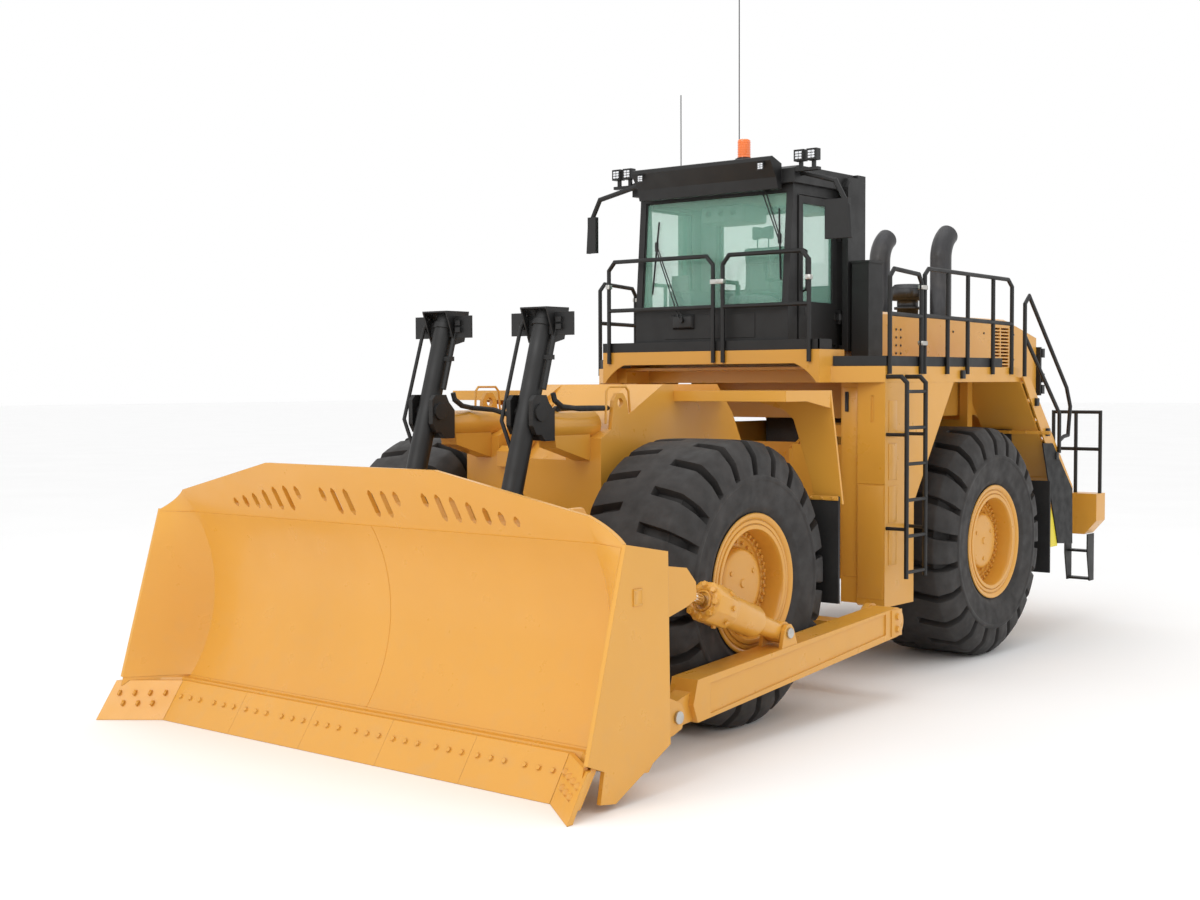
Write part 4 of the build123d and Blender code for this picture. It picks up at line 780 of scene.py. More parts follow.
# ------------------------------------------------------------------------------ wheels
@dataclass
class Wheel:
    """One wheel: a rock tyre with deep shoulder lugs and a dished rim with its hub."""

    end: str
    side: str
    place: Point
    hand: int
    pitches: int = 22
    divisions: int = 4
    groove_depth: float = 0.105
    groove_start: float = 0.125
    groove_low: float = 0.926
    groove_taper: float = 0.985
    slant: float = 0.16
    slant_from: float = 0.70
    slant_over: float = 0.2
    rim_bolts: int = 40
    hub_bolts: int = 24
    hub_plugs: int = 3
    tyre_profile: tuple[tuple[float, float], ...] = (
        (0.0, 1.225), (0.12, 1.2245), (0.135, 1.2242), (0.29, 1.222), (0.412, 1.216), (0.436, 1.206),
        (0.478, 1.160), (0.520, 1.106), (0.536, 1.075), (0.548, 1.00), (0.556, 0.93), (0.566, 0.922),
        (0.566, 0.890), (0.560, 0.882), (0.561, 0.85), (0.552, 0.76), (0.540, 0.70), (0.543, 0.690),
        (0.536, 0.665), (0.520, 0.635), (0.5025, 0.618), (0.4975, 0.604), (0.4975, 0.497),
    )

    def tyre(self) -> bpy.types.Object:
        """The tyre about X: a spun carcass whose grooves are extruded inwards.

        Returns:
            The tyre at the origin.
        """
        half = list(self.tyre_profile)
        loop = [(-x, r) for x, r in reversed(half[1:])] + half
        steps = self.pitches * self.divisions
        obj = turned(loop, steps, "tyre", closed=True)
        edit(obj)

        def in_groove(centre: Vector, normal: Vector) -> bool:
            """Whether a face lies in a groove's mouth."""
            radius = math.hypot(centre.y, centre.z)
            if radius < self.groove_low or abs(centre.x) < self.groove_start:
                return False
            turn = math.atan2(centre.y, centre.z) / (2 * math.pi) % 1.0
            division = int(turn * steps + 0.0001) % self.divisions
            return division == (0 if centre.x > 0 else self.divisions // 2)

        pick(obj, in_groove)
        bpy.ops.mesh.extrude_region_shrink_fatten(
            MESH_OT_extrude_region={"use_normal_flip": False},
            TRANSFORM_OT_shrink_fatten={"value": -self.groove_depth},
        )
        bpy.ops.transform.resize(value=(self.groove_taper, 1.0, 1.0))
        done()
        for vertex in obj.data.vertices:
            self._lean(vertex)
        return bevelled(obj, 0.011, 2, 38.0)

    def _lean(self, vertex: bpy.types.MeshVertex) -> None:
        """Turn a vertex round the axle by its distance from the middle, so that the grooves slant."""
        across = max(0.0, abs(vertex.co.x) - self.groove_start)
        outward = (vertex.co.yz.length - self.slant_from) / self.slant_over
        turn = self.slant * across * min(1.0, max(0.0, outward))
        cos, sin = math.cos(turn), math.sin(turn)
        y, z = vertex.co.y, vertex.co.z
        vertex.co.y = y * cos - z * sin
        vertex.co.z = y * sin + z * cos

    def rim(self) -> bpy.types.Object:
        """The rim about X with its lock ring, bolt ring, ribbed hub and plug.

        Returns:
            The rim at the origin, its open side towards -X.
        """
        profile = (
            (0.412, 0.0), (0.412, 0.030), (0.406, 0.036), (0.400, 0.040), (0.400, 0.122), (0.398, 0.240),
            (0.396, 0.268), (0.388, 0.284), (0.370, 0.296), (0.345, 0.302), (0.300, 0.306), (0.296, 0.312),
            (0.296, 0.395), (0.304, 0.400), (0.318, 0.402), (0.322, 0.410), (0.322, 0.440), (0.330, 0.448),
            (0.410, 0.454), (0.470, 0.460), (0.502, 0.464), (0.510, 0.470), (0.512, 0.492), (0.511, 0.504),
            (0.4995, 0.507), (0.4995, 0.514), (0.506, 0.518), (0.506, 0.544), (0.4995, 0.548),
            (0.4995, 0.554), (0.511, 0.562), (0.521, 0.584), (0.523, 0.600), (0.514, 0.607),
            (0.506, 0.603), (0.4985, 0.596),
            (0.4985, 0.4945), (-0.498, 0.4945), (-0.498, 0.589), (-0.520, 0.601), (-0.520, 0.467),
            (0.230, 0.467), (0.230, 0.300), (-0.120, 0.225), (-0.120, 0.151), (0.068, 0.151), (0.068, 0.0),
        )
        plug = bevelled(rod((0.390, 0, 0.19), (0.408, 0, 0.19), 0.022), 0.004)
        rim_ring = ring(self.rim_bolts, facing((0.320, 0, 0.425), (1, 0, 0)))
        hub_ring = ring(self.hub_bolts, facing((0.296, 0, 0.352), (1, 0, 0)), 0.5)
        parts = [
            smooth(turned(profile, 96, "rim"), 32.0),
            copied(bolt(0.0175, 0.030), rim_ring, "rim_bolts"),
            copied(bolt(0.016, 0.022), hub_ring, "hub_bolts"),
            copied(plug, ring(self.hub_plugs, Matrix.Identity(4), 0.5), "hub_plugs"),
            rod((0.40, 0, 0.445), (0.455, 0, 0.462), 0.008, 8),
        ]
        return joined(parts, "rim")

    def build(self, tyre: bpy.types.Object, rim: bpy.types.Object) -> None:
        """Copy the patterns to this wheel's place.

        Args:
            tyre: The tyre pattern.
            rim: The rim pattern.
        """
        flip = Matrix.Scale(self.hand, 4, (1, 0, 0))
        body = f"wheel_{self.end}_{self.side}"
        kinds = ((tyre, "tyre", Finish.TYRE, "tyre"), (rim, "rim", Finish.YELLOW, "yellow"))
        for pattern, kind, finish, slot in kinds:
            copy = pattern.copy()
            copy.data = pattern.data.copy()
            copy.data.transform(Matrix.Translation(self.place) @ flip)
            if self.hand < 0:
                copy.data.flip_normals()
            copy.name = f"{kind}_{self.end}_{self.side}_full"
            bpy.context.collection.objects.link(copy)
            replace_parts(copy, f"{kind}_{self.end}_{self.side}")
            fit(copy, finish, body)


@dataclass
class Wheels:
    """The four wheels, all from one tyre and one rim."""

    axle_y: float = 2.3
    track: float = 1.47
    radius: float = 1.225

    def build(self) -> None:
        """Make the patterns, place them and remove the patterns."""
        wheels = [
            Wheel(end, side, (hand * self.track, way * self.axle_y, self.radius), hand)
            for end, way in (("front", -1), ("rear", 1)) for side, hand in SIDES
        ]
        tyre, rim = wheels[0].tyre(), wheels[0].rim()
        for wheel in wheels:
            wheel.build(tyre, rim)
        for pattern in (tyre, rim):
            bpy.data.objects.remove(pattern, do_unlink=True)


# ------------------------------------------------------------------------------ blade
@dataclass
class BladeFittings:
    """Edge bolts, a pad on each end plate, and the rolled face plate with its middle weld."""

    edge_half: float = 2.24
    segments: int = 5
    bolt_row: float = 0.62
    bolt_steps: tuple[float, ...] = (0.09, 0.24, 0.39, 0.61, 0.76, 0.91)
    bit: tuple[float, float] = (2.243, 2.709)
    bit_sweep: float = 0.363
    bit_turn: float = 0.78
    foot: tuple[float, float] = (-5.237, 0.0)
    top: tuple[float, float] = (-5.022, 0.318)
    arc: tuple[tuple[float, float], float] = ((-5.84450, 1.11890), 1.22890)
    wing_foot: tuple[float, float] = (-5.379, 0.274)
    wing_top: tuple[float, float] = (-4.797, 2.300)
    wing_x: float = 2.320
    half: float = 2.655
    face_z: tuple[float, float] = (0.345, 1.795)
    proud: float = 0.007

    def edge_bolts(self) -> None:
        """A row of paired bolts on each edge segment and a cluster on each end bit."""
        (y0, z0), (y1, z1) = self.foot, self.top
        deep, tall = y1 - y0, z1 - z0
        lean = Vector((0, -tall, deep)).normalized()
        width = 2 * self.edge_half / self.segments
        places = []
        for number in range(self.segments):
            start = -self.edge_half + number * width
            for step in self.bolt_steps:
                foot = (start + step * width, y0 + deep * self.bolt_row, z0 + tall * self.bolt_row)
                places.append(facing(foot, lean))
        fit(copied(bolt(0.020, 0.014), places, "edge_bolts"), Finish.YELLOW, Body.BLADE)
        inner, outer = self.bit
        places = []
        for side in (-1, 1):
            out = Vector((side * lean.y * -self.bit_turn, lean.y, lean.z)).normalized()
            for row, steps in ((0.42, (0.28, 0.5, 0.72)), (0.68, (0.16, 0.39, 0.62, 0.85))):
                for step in steps:
                    x = side * (inner + step * (outer - inner))
                    places.append(facing((x, y0 + deep * row - self.bit_sweep * step, z0 + tall * row), out))
        fit(copied(bolt(0.024, 0.018), places, "end_bit_bolts"), Finish.YELLOW, Body.BLADE)

    def end_pads(self) -> None:
        """A small bolted pad on each end plate."""
        for side_name, side in SIDES:
            pad = cube((2.690, -4.86, 1.38), (2.700, -4.76, 1.50))
            bevelled(pad, 0.002)
            edit(pad)
            pick(pad, lambda centre, normal: normal.x > 0.9)
            bpy.ops.mesh.inset(thickness=0.012, depth=-0.003)
            done()
            fit(handed(pad, "end_pad", side_name, side), Finish.YELLOW, Body.BLADE)

    def face_y(self, x: float, z: float) -> float:
        """The blade's front face: an arc between the wings and a ruled surface on each wing.

        Args:
            x: Distance from the middle.
            z: Height.

        Returns:
            The face's y.
        """
        (centre_y, centre_z), radius = self.arc
        curved = centre_y + math.sqrt(radius * radius - (z - centre_z) ** 2)
        (y0, z0), (y1, z1) = self.wing_foot, self.wing_top
        straight = y0 + (y1 - y0) * (z - z0) / (z1 - z0)
        share = max(0.0, (abs(x) - self.wing_x) / (self.half + 0.001 - self.wing_x))
        return (1 - share) * curved + share * straight

    def face(self) -> None:
        """The rolled face plate between the cutting edges and the crown's bend, and its middle weld."""
        deselect()
        bpy.ops.mesh.primitive_grid_add(x_subdivisions=60, y_subdivisions=36, size=2.0, location=(0, 0, 0))
        sheet = bpy.context.object
        low, high = self.face_z
        for vertex in sheet.data.vertices:
            x = vertex.co.x * (self.half - 0.002)
            z = low + (high - low) * (vertex.co.y + 1) / 2
            vertex.co = (x, self.face_y(x, z) - self.proud, z)
        only(sheet)
        plate = sheet.modifiers.new("plate", "SOLIDIFY")
        plate.thickness = self.proud + 0.012
        plate.offset = -1.0
        bpy.ops.object.modifier_apply(modifier=plate.name)
        edit(sheet)
        bpy.ops.mesh.select_all(action="SELECT")
        bpy.ops.mesh.normals_make_consistent(inside=False)
        done()
        sheet.name = "blade_face"
        smooth(sheet, 22.0)
        fit(sheet, Finish.YELLOW, Body.BLADE)
        steps = 40
        route = [low + (high - low) * i / steps for i in range(steps + 1)]
        weld = pipe([(0.0, self.face_y(0.0, z) - self.proud, z) for z in route], 0.0042, "blade_weld", 2)
        fit(weld, Finish.YELLOW, Body.BLADE)

    def build(self) -> None:
        """Add the fittings."""
        self.edge_bolts()
        self.end_pads()
        self.face()


def block(low: Point, high: Point, width: float = 0.006, name: str = "block") -> bpy.types.Object:
    """A box between two corners with rounded edges.

    Args:
        low: The lowest corner.
        high: The highest corner.
        width: How far the edges are rounded.
        name: The object's name.

    Returns:
        The rounded box.
    """
    return bevelled(cube(low, high, name), width)


def host(node: str) -> str:
    """The body that carries a CAD node."""
    return body_of(frame["nodes"][node])[0]


# ------------------------------------------------------------------------------ operator's seat
@dataclass
class Cushion:
    """One stuffed piece of the seat: a closed form that is inflated as cloth and then sewn."""

    name: str
    low: Point
    high: Point
    seams: tuple[tuple[int, float], ...]
    fill: float = 0.7
    inset: float = 0.014
    waist: float = 0.010
    voxel: float = 0.006
    pressure: float = 4.0
    frames: int = 20
    cap: float = 0.024
    seam_width: float = 0.007
    seam_depth: float = 0.007

    def form(self) -> bpy.types.Object:
        """The cut foam: a rounded block a little smaller than the finished pad, with drawn-in sides.

        Returns:
            The block, remeshed evenly.
        """
        low = tuple(v + self.inset for v in self.low)
        high = tuple(v - self.inset for v in self.high)
        obj = block(low, high, 0.032, self.name)
        edit(obj)
        bpy.ops.mesh.select_all(action="SELECT")
        bpy.ops.mesh.subdivide(number_cuts=4)
        done()
        middle = [(a + b) / 2 for a, b in zip(low, high)]
        half = [(b - a) / 2 for a, b in zip(low, high)]
        thin = half.index(min(half))
        for vertex in obj.data.vertices:
            for axis in (a for a in range(3) if a != thin):
                along = [(vertex.co[a] - middle[a]) / half[a] for a in range(3) if a not in (axis, thin)][0]
                drawn = 1.0 - self.waist / half[axis] * max(0.0, 1.0 - along * along)
                vertex.co[axis] = middle[axis] + (vertex.co[axis] - middle[axis]) * drawn
        only(obj)
        remesh = obj.modifiers.new("remesh", "REMESH")
        remesh.mode = "VOXEL"
        remesh.voxel_size = self.voxel * 1.0
        bpy.ops.object.modifier_apply(modifier=remesh.name)
        return obj

    def inflate(self, obj: bpy.types.Object) -> None:
        """Blow the pad up as cloth, hold back points that move too far, and refine it once.

        Args:
            obj: The remeshed form.
        """
        before = [vertex.co.copy() for vertex in obj.data.vertices]
        only(obj)
        cloth = obj.modifiers.new("cloth", "CLOTH")
        cloth.settings.quality = 4
        cloth.settings.use_pressure = True
        cloth.settings.uniform_pressure_force = self.pressure
        cloth.settings.effector_weights.gravity = 0.0
        cloth.point_cache.frame_start = 1
        cloth.point_cache.frame_end = self.frames
        for number in range(1, self.frames + 1):
            bpy.context.scene.frame_set(number)
        bpy.ops.object.modifier_apply(modifier=cloth.name)
        bpy.context.scene.frame_set(1)
        for vertex, start in zip(obj.data.vertices, before):
            moved = vertex.co - start
            if moved.length > self.cap:
                vertex.co = start + moved * (self.cap / moved.length)
        fine = obj.modifiers.new("fine", "SUBSURF")
        fine.levels = 1
        bpy.ops.object.modifier_apply(modifier=fine.name)

    def sew(self, obj: bpy.types.Object) -> None:
        """Press the sewn channels in along planes across the pad.

        Args:
            obj: The inflated pad.
        """
        normals = [vertex.normal.copy() for vertex in obj.data.vertices]
        for vertex, normal in zip(obj.data.vertices, normals):
            dip = sum(math.exp(-(((vertex.co[axis] - at) / self.seam_width) ** 2)) for axis, at in self.seams)
            vertex.co -= normal * self.seam_depth * min(1.0, dip)

    def build(self) -> bpy.types.Object:
        obj = self.form()
        self.inflate(obj)
        self.sew(obj)
        smooth(obj, 80.0)
        fit(obj, Finish.CLOTH, host("cab_seat"))
        return obj


@dataclass
class Seat:
    """The operator's seat: three cushions on a moulded shell, arm pads and a bellows pedestal."""

    half: float = 0.265
    pan_z: float = 3.68
    back_y: float = 0.885

    def shell(self) -> None:
        """The pan, back shell, headrest posts, arm pads and pedestal."""
        parts = [
            block((-0.25, 0.35, 3.600), (0.25, 0.82, 3.676), 0.020),
            block((-0.235, self.back_y + 0.001, 3.80), (0.235, self.back_y + 0.016, 4.38), 0.006),
            block((-0.21, 0.43, 3.300), (0.21, 0.76, 3.345), 0.010),
            block((-0.20, 0.44, 3.500), (0.20, 0.75, 3.598), 0.012),
        ]
        for level in range(4):
            z = 3.350 + 0.037 * level
            parts.append(block((-0.195, 0.445, z), (0.195, 0.745, z + 0.034), 0.015))
        for x in (-0.07, 0.07):
            parts.append(rod((x, 0.845, 4.36), (x, 0.845, 4.47), 0.007, 12))
        for side in (-1, 1):
            low, high = sorted((side * 0.272, side * 0.318))
            parts.append(block((low, 0.46, 3.985), (high, 0.80, 4.030), 0.016))
            low, high = sorted((side * 0.283, side * 0.303))
            parts.append(block((low, 0.76, 3.70), (high, 0.84, 3.99), 0.008))
        fit(joined(parts, "seat_shell"), Finish.PLASTIC, host("cab_seat"))

    def build(self) -> None:
        """Make the seat in place of its plain node."""
        pads = (
            Cushion("seat_cushion", (-self.half, 0.33, self.pan_z), (self.half, 0.79, 3.84),
                    ((0, -0.13), (0, 0.13), (2, 3.757))),
            Cushion("seat_back", (-0.255, 0.79, 3.85), (0.255, self.back_y, 4.40),
                    ((0, -0.125), (0, 0.125), (2, 4.20), (1, 0.842)), cap=0.022),
            Cushion("seat_headrest", (-0.15, 0.80, 4.44), (0.15, self.back_y, 4.62), ((0, 0.0), (1, 0.845)),
                    cap=0.022, inset=0.010, waist=0.006),
        )
        for pad in pads:
            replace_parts(pad.build(), "cab_seat")
        self.shell()


# ------------------------------------------------------------------------------ cab
@dataclass
class CabInterior:
    """Grey linings on the walls and roof, the overhead air duct, the mat and the levers."""

    half: float = 0.889
    floor_z: float = 3.302
    head_z: float = 4.838

    def linings(self) -> None:
        """Panels round the rear and side windows and under the roof."""
        half, low, high = self.half, self.floor_z, self.head_z
        parts = [
            block((0.715, 1.045, low), (half, 1.060, high)),
            block((-half, 1.045, low), (-0.715, 1.060, high)),
            block((-0.715, 1.045, low), (0.715, 1.060, 3.935)),
            block((-0.715, 1.045, 4.765), (0.715, 1.060, high)),
            block((-half, 0.775, low), (-half + 0.015, 1.040, high)),
            block((-half, -0.030, low), (-half + 0.015, 0.045, 4.60)),
            block((-half, 0.050, low), (-half + 0.015, 0.770, 3.685)),
            block((-half, 0.050, 4.775), (-half + 0.015, 0.770, high)),
            block((half - 0.015, 0.830, low), (half, 1.040, high)),
            block((-half + 0.02, 0.02, high - 0.014), (half - 0.02, 1.040, high)),
            block((-0.62, 0.56, 4.640), (-0.06, 1.030, 4.822), 0.035),
            block((0.42, 0.70, 4.680), (0.80, 1.030, 4.822), 0.030),
            block((-0.860, 0.890, 3.32), (-0.730, 1.040, 4.80), 0.030),
        ]
        fit(joined(parts, "cab_linings"), Finish.TRIM, Body.REAR)

    def fittings(self) -> None:
        """The rubber mat, the duct's vents and the joystick."""
        parts = [block((-0.66, -0.03, self.floor_z), (0.86, 1.03, self.floor_z + 0.010), 0.004)]
        vent_profile = ((0.0, 0.0), (0.0, 0.026), (0.010, 0.034), (0.016, 0.034), (0.016, 0.0))
        for x in (-0.50, -0.34, -0.18):
            vent = turned(vent_profile, 24, "vent")
            vent.data.transform(facing((x, 0.556, 4.74), (0, -1, 0)) @ UPRIGHT)
            parts.append(vent)
        stick = [(0.295, 0.47, 4.02), (0.295, 0.455, 4.07), (0.295, 0.445, 4.10)]
        parts.append(pipe(stick, 0.009, "stick"))
        parts.append(block((0.275, 0.420, 4.09), (0.315, 0.470, 4.19), 0.018))
        fit(joined(parts, "cab_fittings"), Finish.PLASTIC, Body.REAR)

    def build(self) -> None:
        """Line the cab."""
        self.linings()
        self.fittings()


@dataclass
class Lamp:
    """A square work lamp's face: a raised bezel and a grid of lenses."""

    centre: Point
    size: float
    name: str
    columns: int = 2
    rows: int = 3
    rim: float = 0.09
    grid: float = 0.76

    def build(self) -> None:
        """Put the face on a lamp that looks forward."""
        x, y, z = self.centre
        half = self.size / 2
        bezel = cube((x - half, y - 0.006, z - half), (x + half, y + 0.002, z + half), f"{self.name}_bezel")
        edit(bezel)
        pick(bezel, lambda centre, normal: normal.y < -0.9)
        bpy.ops.mesh.inset(thickness=self.size * self.rim, depth=0.0)
        bpy.ops.transform.translate(value=(0, 0.005, 0))
        done()
        bevelled(bezel, 0.003)
        fit(bezel, Finish.PLASTIC, Body.REAR)
        wide = self.size * self.grid / self.columns
        tall = self.size * self.grid / self.rows
        tile = block((-wide * 0.42, -0.004, -tall * 0.38), (wide * 0.42, 0.003, tall * 0.38), 0.004)
        places = []
        for column in range(self.columns):
            for row in range(self.rows):
                across = (column - (self.columns - 1) / 2) * wide
                up = (row - (self.rows - 1) / 2) * tall
                places.append(Matrix.Translation((x + across, y - 0.003, z + up)))
        fit(copied(tile, places, f"{self.name}_lenses"), Finish.LENS, Body.REAR)


@dataclass
class CabExterior:
    """Wipers, windscreen seals, lamp faces, the beacon, mirror glasses and the door handle."""

    sill: tuple[float, float] = (-0.126, 3.69)
    head: tuple[float, float] = (-0.036, 4.825)

    def pane_y(self, z: float) -> float:
        """The windscreen's outer face at a height."""
        (y0, z0), (y1, z1) = self.sill, self.head
        return y0 + (y1 - y0) * (z - z0) / (z1 - z0)

    def wiper(
        self, pivot: Point, wrist: tuple[float, float], top: tuple[float, float], low: tuple[float, float]
    ) -> list[bpy.types.Object]:
        """A pantograph arm and a blade that lies on the windscreen.

        Args:
            pivot: The arm's pivot.
            wrist: (x, z) where the arm meets the blade.
            top: (x, z) of the blade's upper end.
            low: (x, z) of the blade's lower end.

        Returns:
            The wiper's parts.
        """
        x, y, z = pivot
        out, spread = 0.026, 0.022
        parts = []
        for shift in (-spread, spread):
            end = (wrist[0] + shift * 0.5, self.pane_y(wrist[1]) - out, wrist[1])
            parts.append(rod((x + shift, y - 0.012, z), end, 0.0065, 10))
        parts.append(rod((x, y + 0.010, z), (x, y - 0.030, z), 0.026, 20))
        blade = [(top[0], self.pane_y(top[1]) - 0.012, top[1]), (low[0], self.pane_y(low[1]) - 0.012, low[1])]
        parts.append(rod(blade[0], blade[1], 0.007, 8))
        spine = [(a[0], a[1] - 0.011, a[2]) for a in blade]
        parts.append(rod(spine[0], spine[1], 0.005, 8))
        parts.append(block((wrist[0] - 0.016, self.pane_y(wrist[1]) - 0.034, wrist[1] - 0.05),
                           (wrist[0] + 0.016, self.pane_y(wrist[1]) - 0.006, wrist[1] + 0.05), 0.005))
        return parts

    def wipers(self) -> None:
        """The low wiper with its motor box and the high one by the left post."""
        parts = self.wiper((-0.31, -0.200, 3.575), (-0.715, 4.36), (-0.700, 4.62), (-0.745, 3.86))
        box = cube((-0.46, -0.198, 3.48), (-0.18, -0.157, 3.64))
        edit(box)
        pick(box, lambda centre, normal: normal.y < -0.9)
        bpy.ops.transform.resize(value=(0.80, 1.0, 0.72))
        done()
        parts.append(bevelled(box, 0.008))
        parts += self.wiper((0.62, -0.080, 4.86), (0.815, 4.36), (0.790, 4.66), (0.845, 3.95))
        fit(joined(parts, "wipers"), Finish.PLASTIC, Body.REAR)

    def seals(self) -> None:
        """Seal strips along the windscreen's sill and head, and beads down its sides."""
        strips = []
        for z0, z1 in ((3.676, 3.700), (4.812, 4.830)):
            y = self.pane_y((z0 + z1) / 2)
            strips.append(block((-0.885, y - 0.006, z0), (0.885, y + 0.006, z1), 0.003))
        for side in (-1, 1):
            x = side * 0.872
            foot, top = ((x, self.pane_y(z) - 0.001, z) for z in (3.69, 4.82))
            strips.append(rod(foot, top, 0.010, 8))
        fit(joined(strips, "windscreen_seal"), Finish.RUBBER, Body.REAR)

    def beacon(self) -> None:
        """The beacon's black foot and its ribbed amber dome."""
        profile = [
            (0.0, 0.0), (0.0, 0.066), (0.090, 0.0655), (0.118, 0.090), (0.134, 0.090), (0.140, 0.070),
            (0.146, 0.066), (0.146, 0.0),
        ]
        foot = turned(profile, 40, "beacon_foot")
        foot.data.transform(Matrix.Translation((0.300, 0.040, 5.071)) @ UPRIGHT)
        smooth(foot, 35.0)
        fit(foot, Finish.PLASTIC, Body.REAR)
        profile = [(0.0, 0.0), (0.0, 0.068)]
        for rib in range(7):
            base = 0.024 * rib
            profile += [(0.010 + base, 0.068), (0.014 + base, 0.0655), (0.024 + base, 0.0655)]
        profile += [(0.176, 0.062), (0.184, 0.050), (0.186, 0.0)]
        dome = turned(profile, 48, "beacon_dome")
        dome.data.transform(Matrix.Translation((0.300, 0.040, 5.216)) @ UPRIGHT)
        smooth(dome, 30.0)
        fit(dome, Finish.AMBER, Body.REAR)

    def mirrors(self) -> None:
        """A glass on the rear face of each mirror head."""
        for name, low, high in (("left", (1.305, 0.0252, 4.350), (1.535, 0.0290, 4.695)),
                                ("right", (-1.535, -0.1748, 4.350), (-1.455, -0.1710, 4.695))):
            glass = block(low, high, 0.0015, f"mirror_glass_{name}")
            fit(glass, Finish.MIRROR, Body.REAR)

    def lamps(self) -> None:
        """Faces on the roof lamps and the two small lamps in the fascia."""
        for side_name, side in SIDES:
            for number, inner in enumerate((1.012, 1.158)):
                centre = (side * (inner + 0.056), -0.1505, 5.095 + 0.056)
                Lamp(centre, 0.104, f"roof_lamp_{side_name}_{number}").build()
            Lamp((side * 0.745, -0.3355, 5.055), 0.080, f"fascia_lamp_{side_name}").build()

    def door(self) -> None:
        """The door's handle and latch plate."""
        grip = [(1.012, 0.085, 3.70), (1.040, 0.085, 3.72), (1.040, 0.085, 3.98), (1.012, 0.085, 4.00)]
        parts = [
            pipe(grip, 0.009, "grip", smoothed=False),
            block((1.008, 0.060, 3.60), (1.018, 0.110, 3.68), 0.004),
        ]
        fit(joined(parts, "door_handle"), Finish.PLASTIC, host("cab_door"))

    def build(self) -> None:
        """Fit out the cab's outside."""
        self.wipers()
        self.seals()
        self.beacon()
        self.mirrors()
        self.lamps()
        self.door()


# ------------------------------------------------------------------------------ hydraulics
@dataclass
class TiltCylinder:
    """A tilt cylinder in place of its node: stepped barrel, bolted eight-sided head, gland and eye."""

    side_name: str
    side: int
    x: float = 2.205
    pin: tuple[float, float] = (-2.275, 0.840)
    rod_pin: tuple[float, float] = (-3.675, 1.332)
    head: tuple[float, float] = (0.860, 1.130)
    head_radius: float = 0.170
    head_sides: int = 8

    def place(self) -> Matrix:
        """A matrix that lays a piece made about +X along the cylinder, from its pin."""
        way = Vector((0, self.rod_pin[0] - self.pin[0], self.rod_pin[1] - self.pin[1])).normalized()
        across = Vector((1, 0, 0))
        third = way.cross(across)
        turn = Matrix((way, across, third)).transposed().to_4x4()
        return Matrix.Translation((self.side * self.x, *self.pin)) @ turn

    def build(self) -> None:
        """Make the cylinder."""
        start, end = self.head
        tube = turned(
            ((0.060, 0.050), (0.060, 0.080), (0.360, 0.084), (0.380, 0.104), (0.395, 0.128), (0.420, 0.136),
             (start - 0.05, 0.136), (start - 0.04, 0.146), (start - 0.01, 0.150), (start, 0.150),
             (start, 0.072)),
            48, "tube",
        )
        parts = [smooth(tube, 32.0)]
        sides = self.head_sides
        bpy.ops.mesh.primitive_cylinder_add(vertices=sides, radius=self.head_radius, depth=end - start,
                                            location=((start + end) / 2, 0, 0), rotation=(0, math.pi / 2, 0))
        head = settle(bpy.context.object)
        head.data.transform(Matrix.Rotation(math.pi / sides, 4, "X"))
        edit(head)
        pick(head, lambda centre, normal: normal.x > 0.9)
        bpy.ops.mesh.inset(thickness=0.030, depth=0)
        bpy.ops.transform.translate(value=(0.022, 0, 0))
        bpy.ops.mesh.inset(thickness=0.034, depth=0)
        bpy.ops.mesh.inset(thickness=0.014, depth=0)
        bpy.ops.transform.translate(value=(-0.020, 0, 0))
        done()
        parts.append(bevelled(head, 0.008, 2, 20.0))
        around = ring(sides, facing((end + 0.010, 0, 0.124), (1, 0, 0.3)))
        parts.append(copied(bolt(0.026, 0.034), around, "head_bolts"))
        around = ring(sides, facing((start + 0.070, 0, 0.155), (0, 0, 1)))
        parts.append(copied(bolt(0.022, 0.020), around, "side_bolts"))
        lip = (
            (end - 0.02, 0.071), (end - 0.02, 0.086), (end + 0.018, 0.086), (end + 0.028, 0.078),
            (end + 0.028, 0.071),
        )
        parts.append(smooth(turned(lip, 40, "gland", closed=True), 30.0))
        for part in parts:
            part.data.transform(self.place())
        eye = rod((self.side * self.x - 0.072, *self.pin), (self.side * self.x + 0.072, *self.pin), 0.092, 40)
        parts.append(bevelled(eye, 0.008))
        whole = joined(parts, f"tilt_cylinder_{self.side_name}")
        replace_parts(whole, f"tilt_barrel_{self.side_name}")
        fit(whole, Finish.YELLOW, f"tilt_barrel_{self.side_name}")


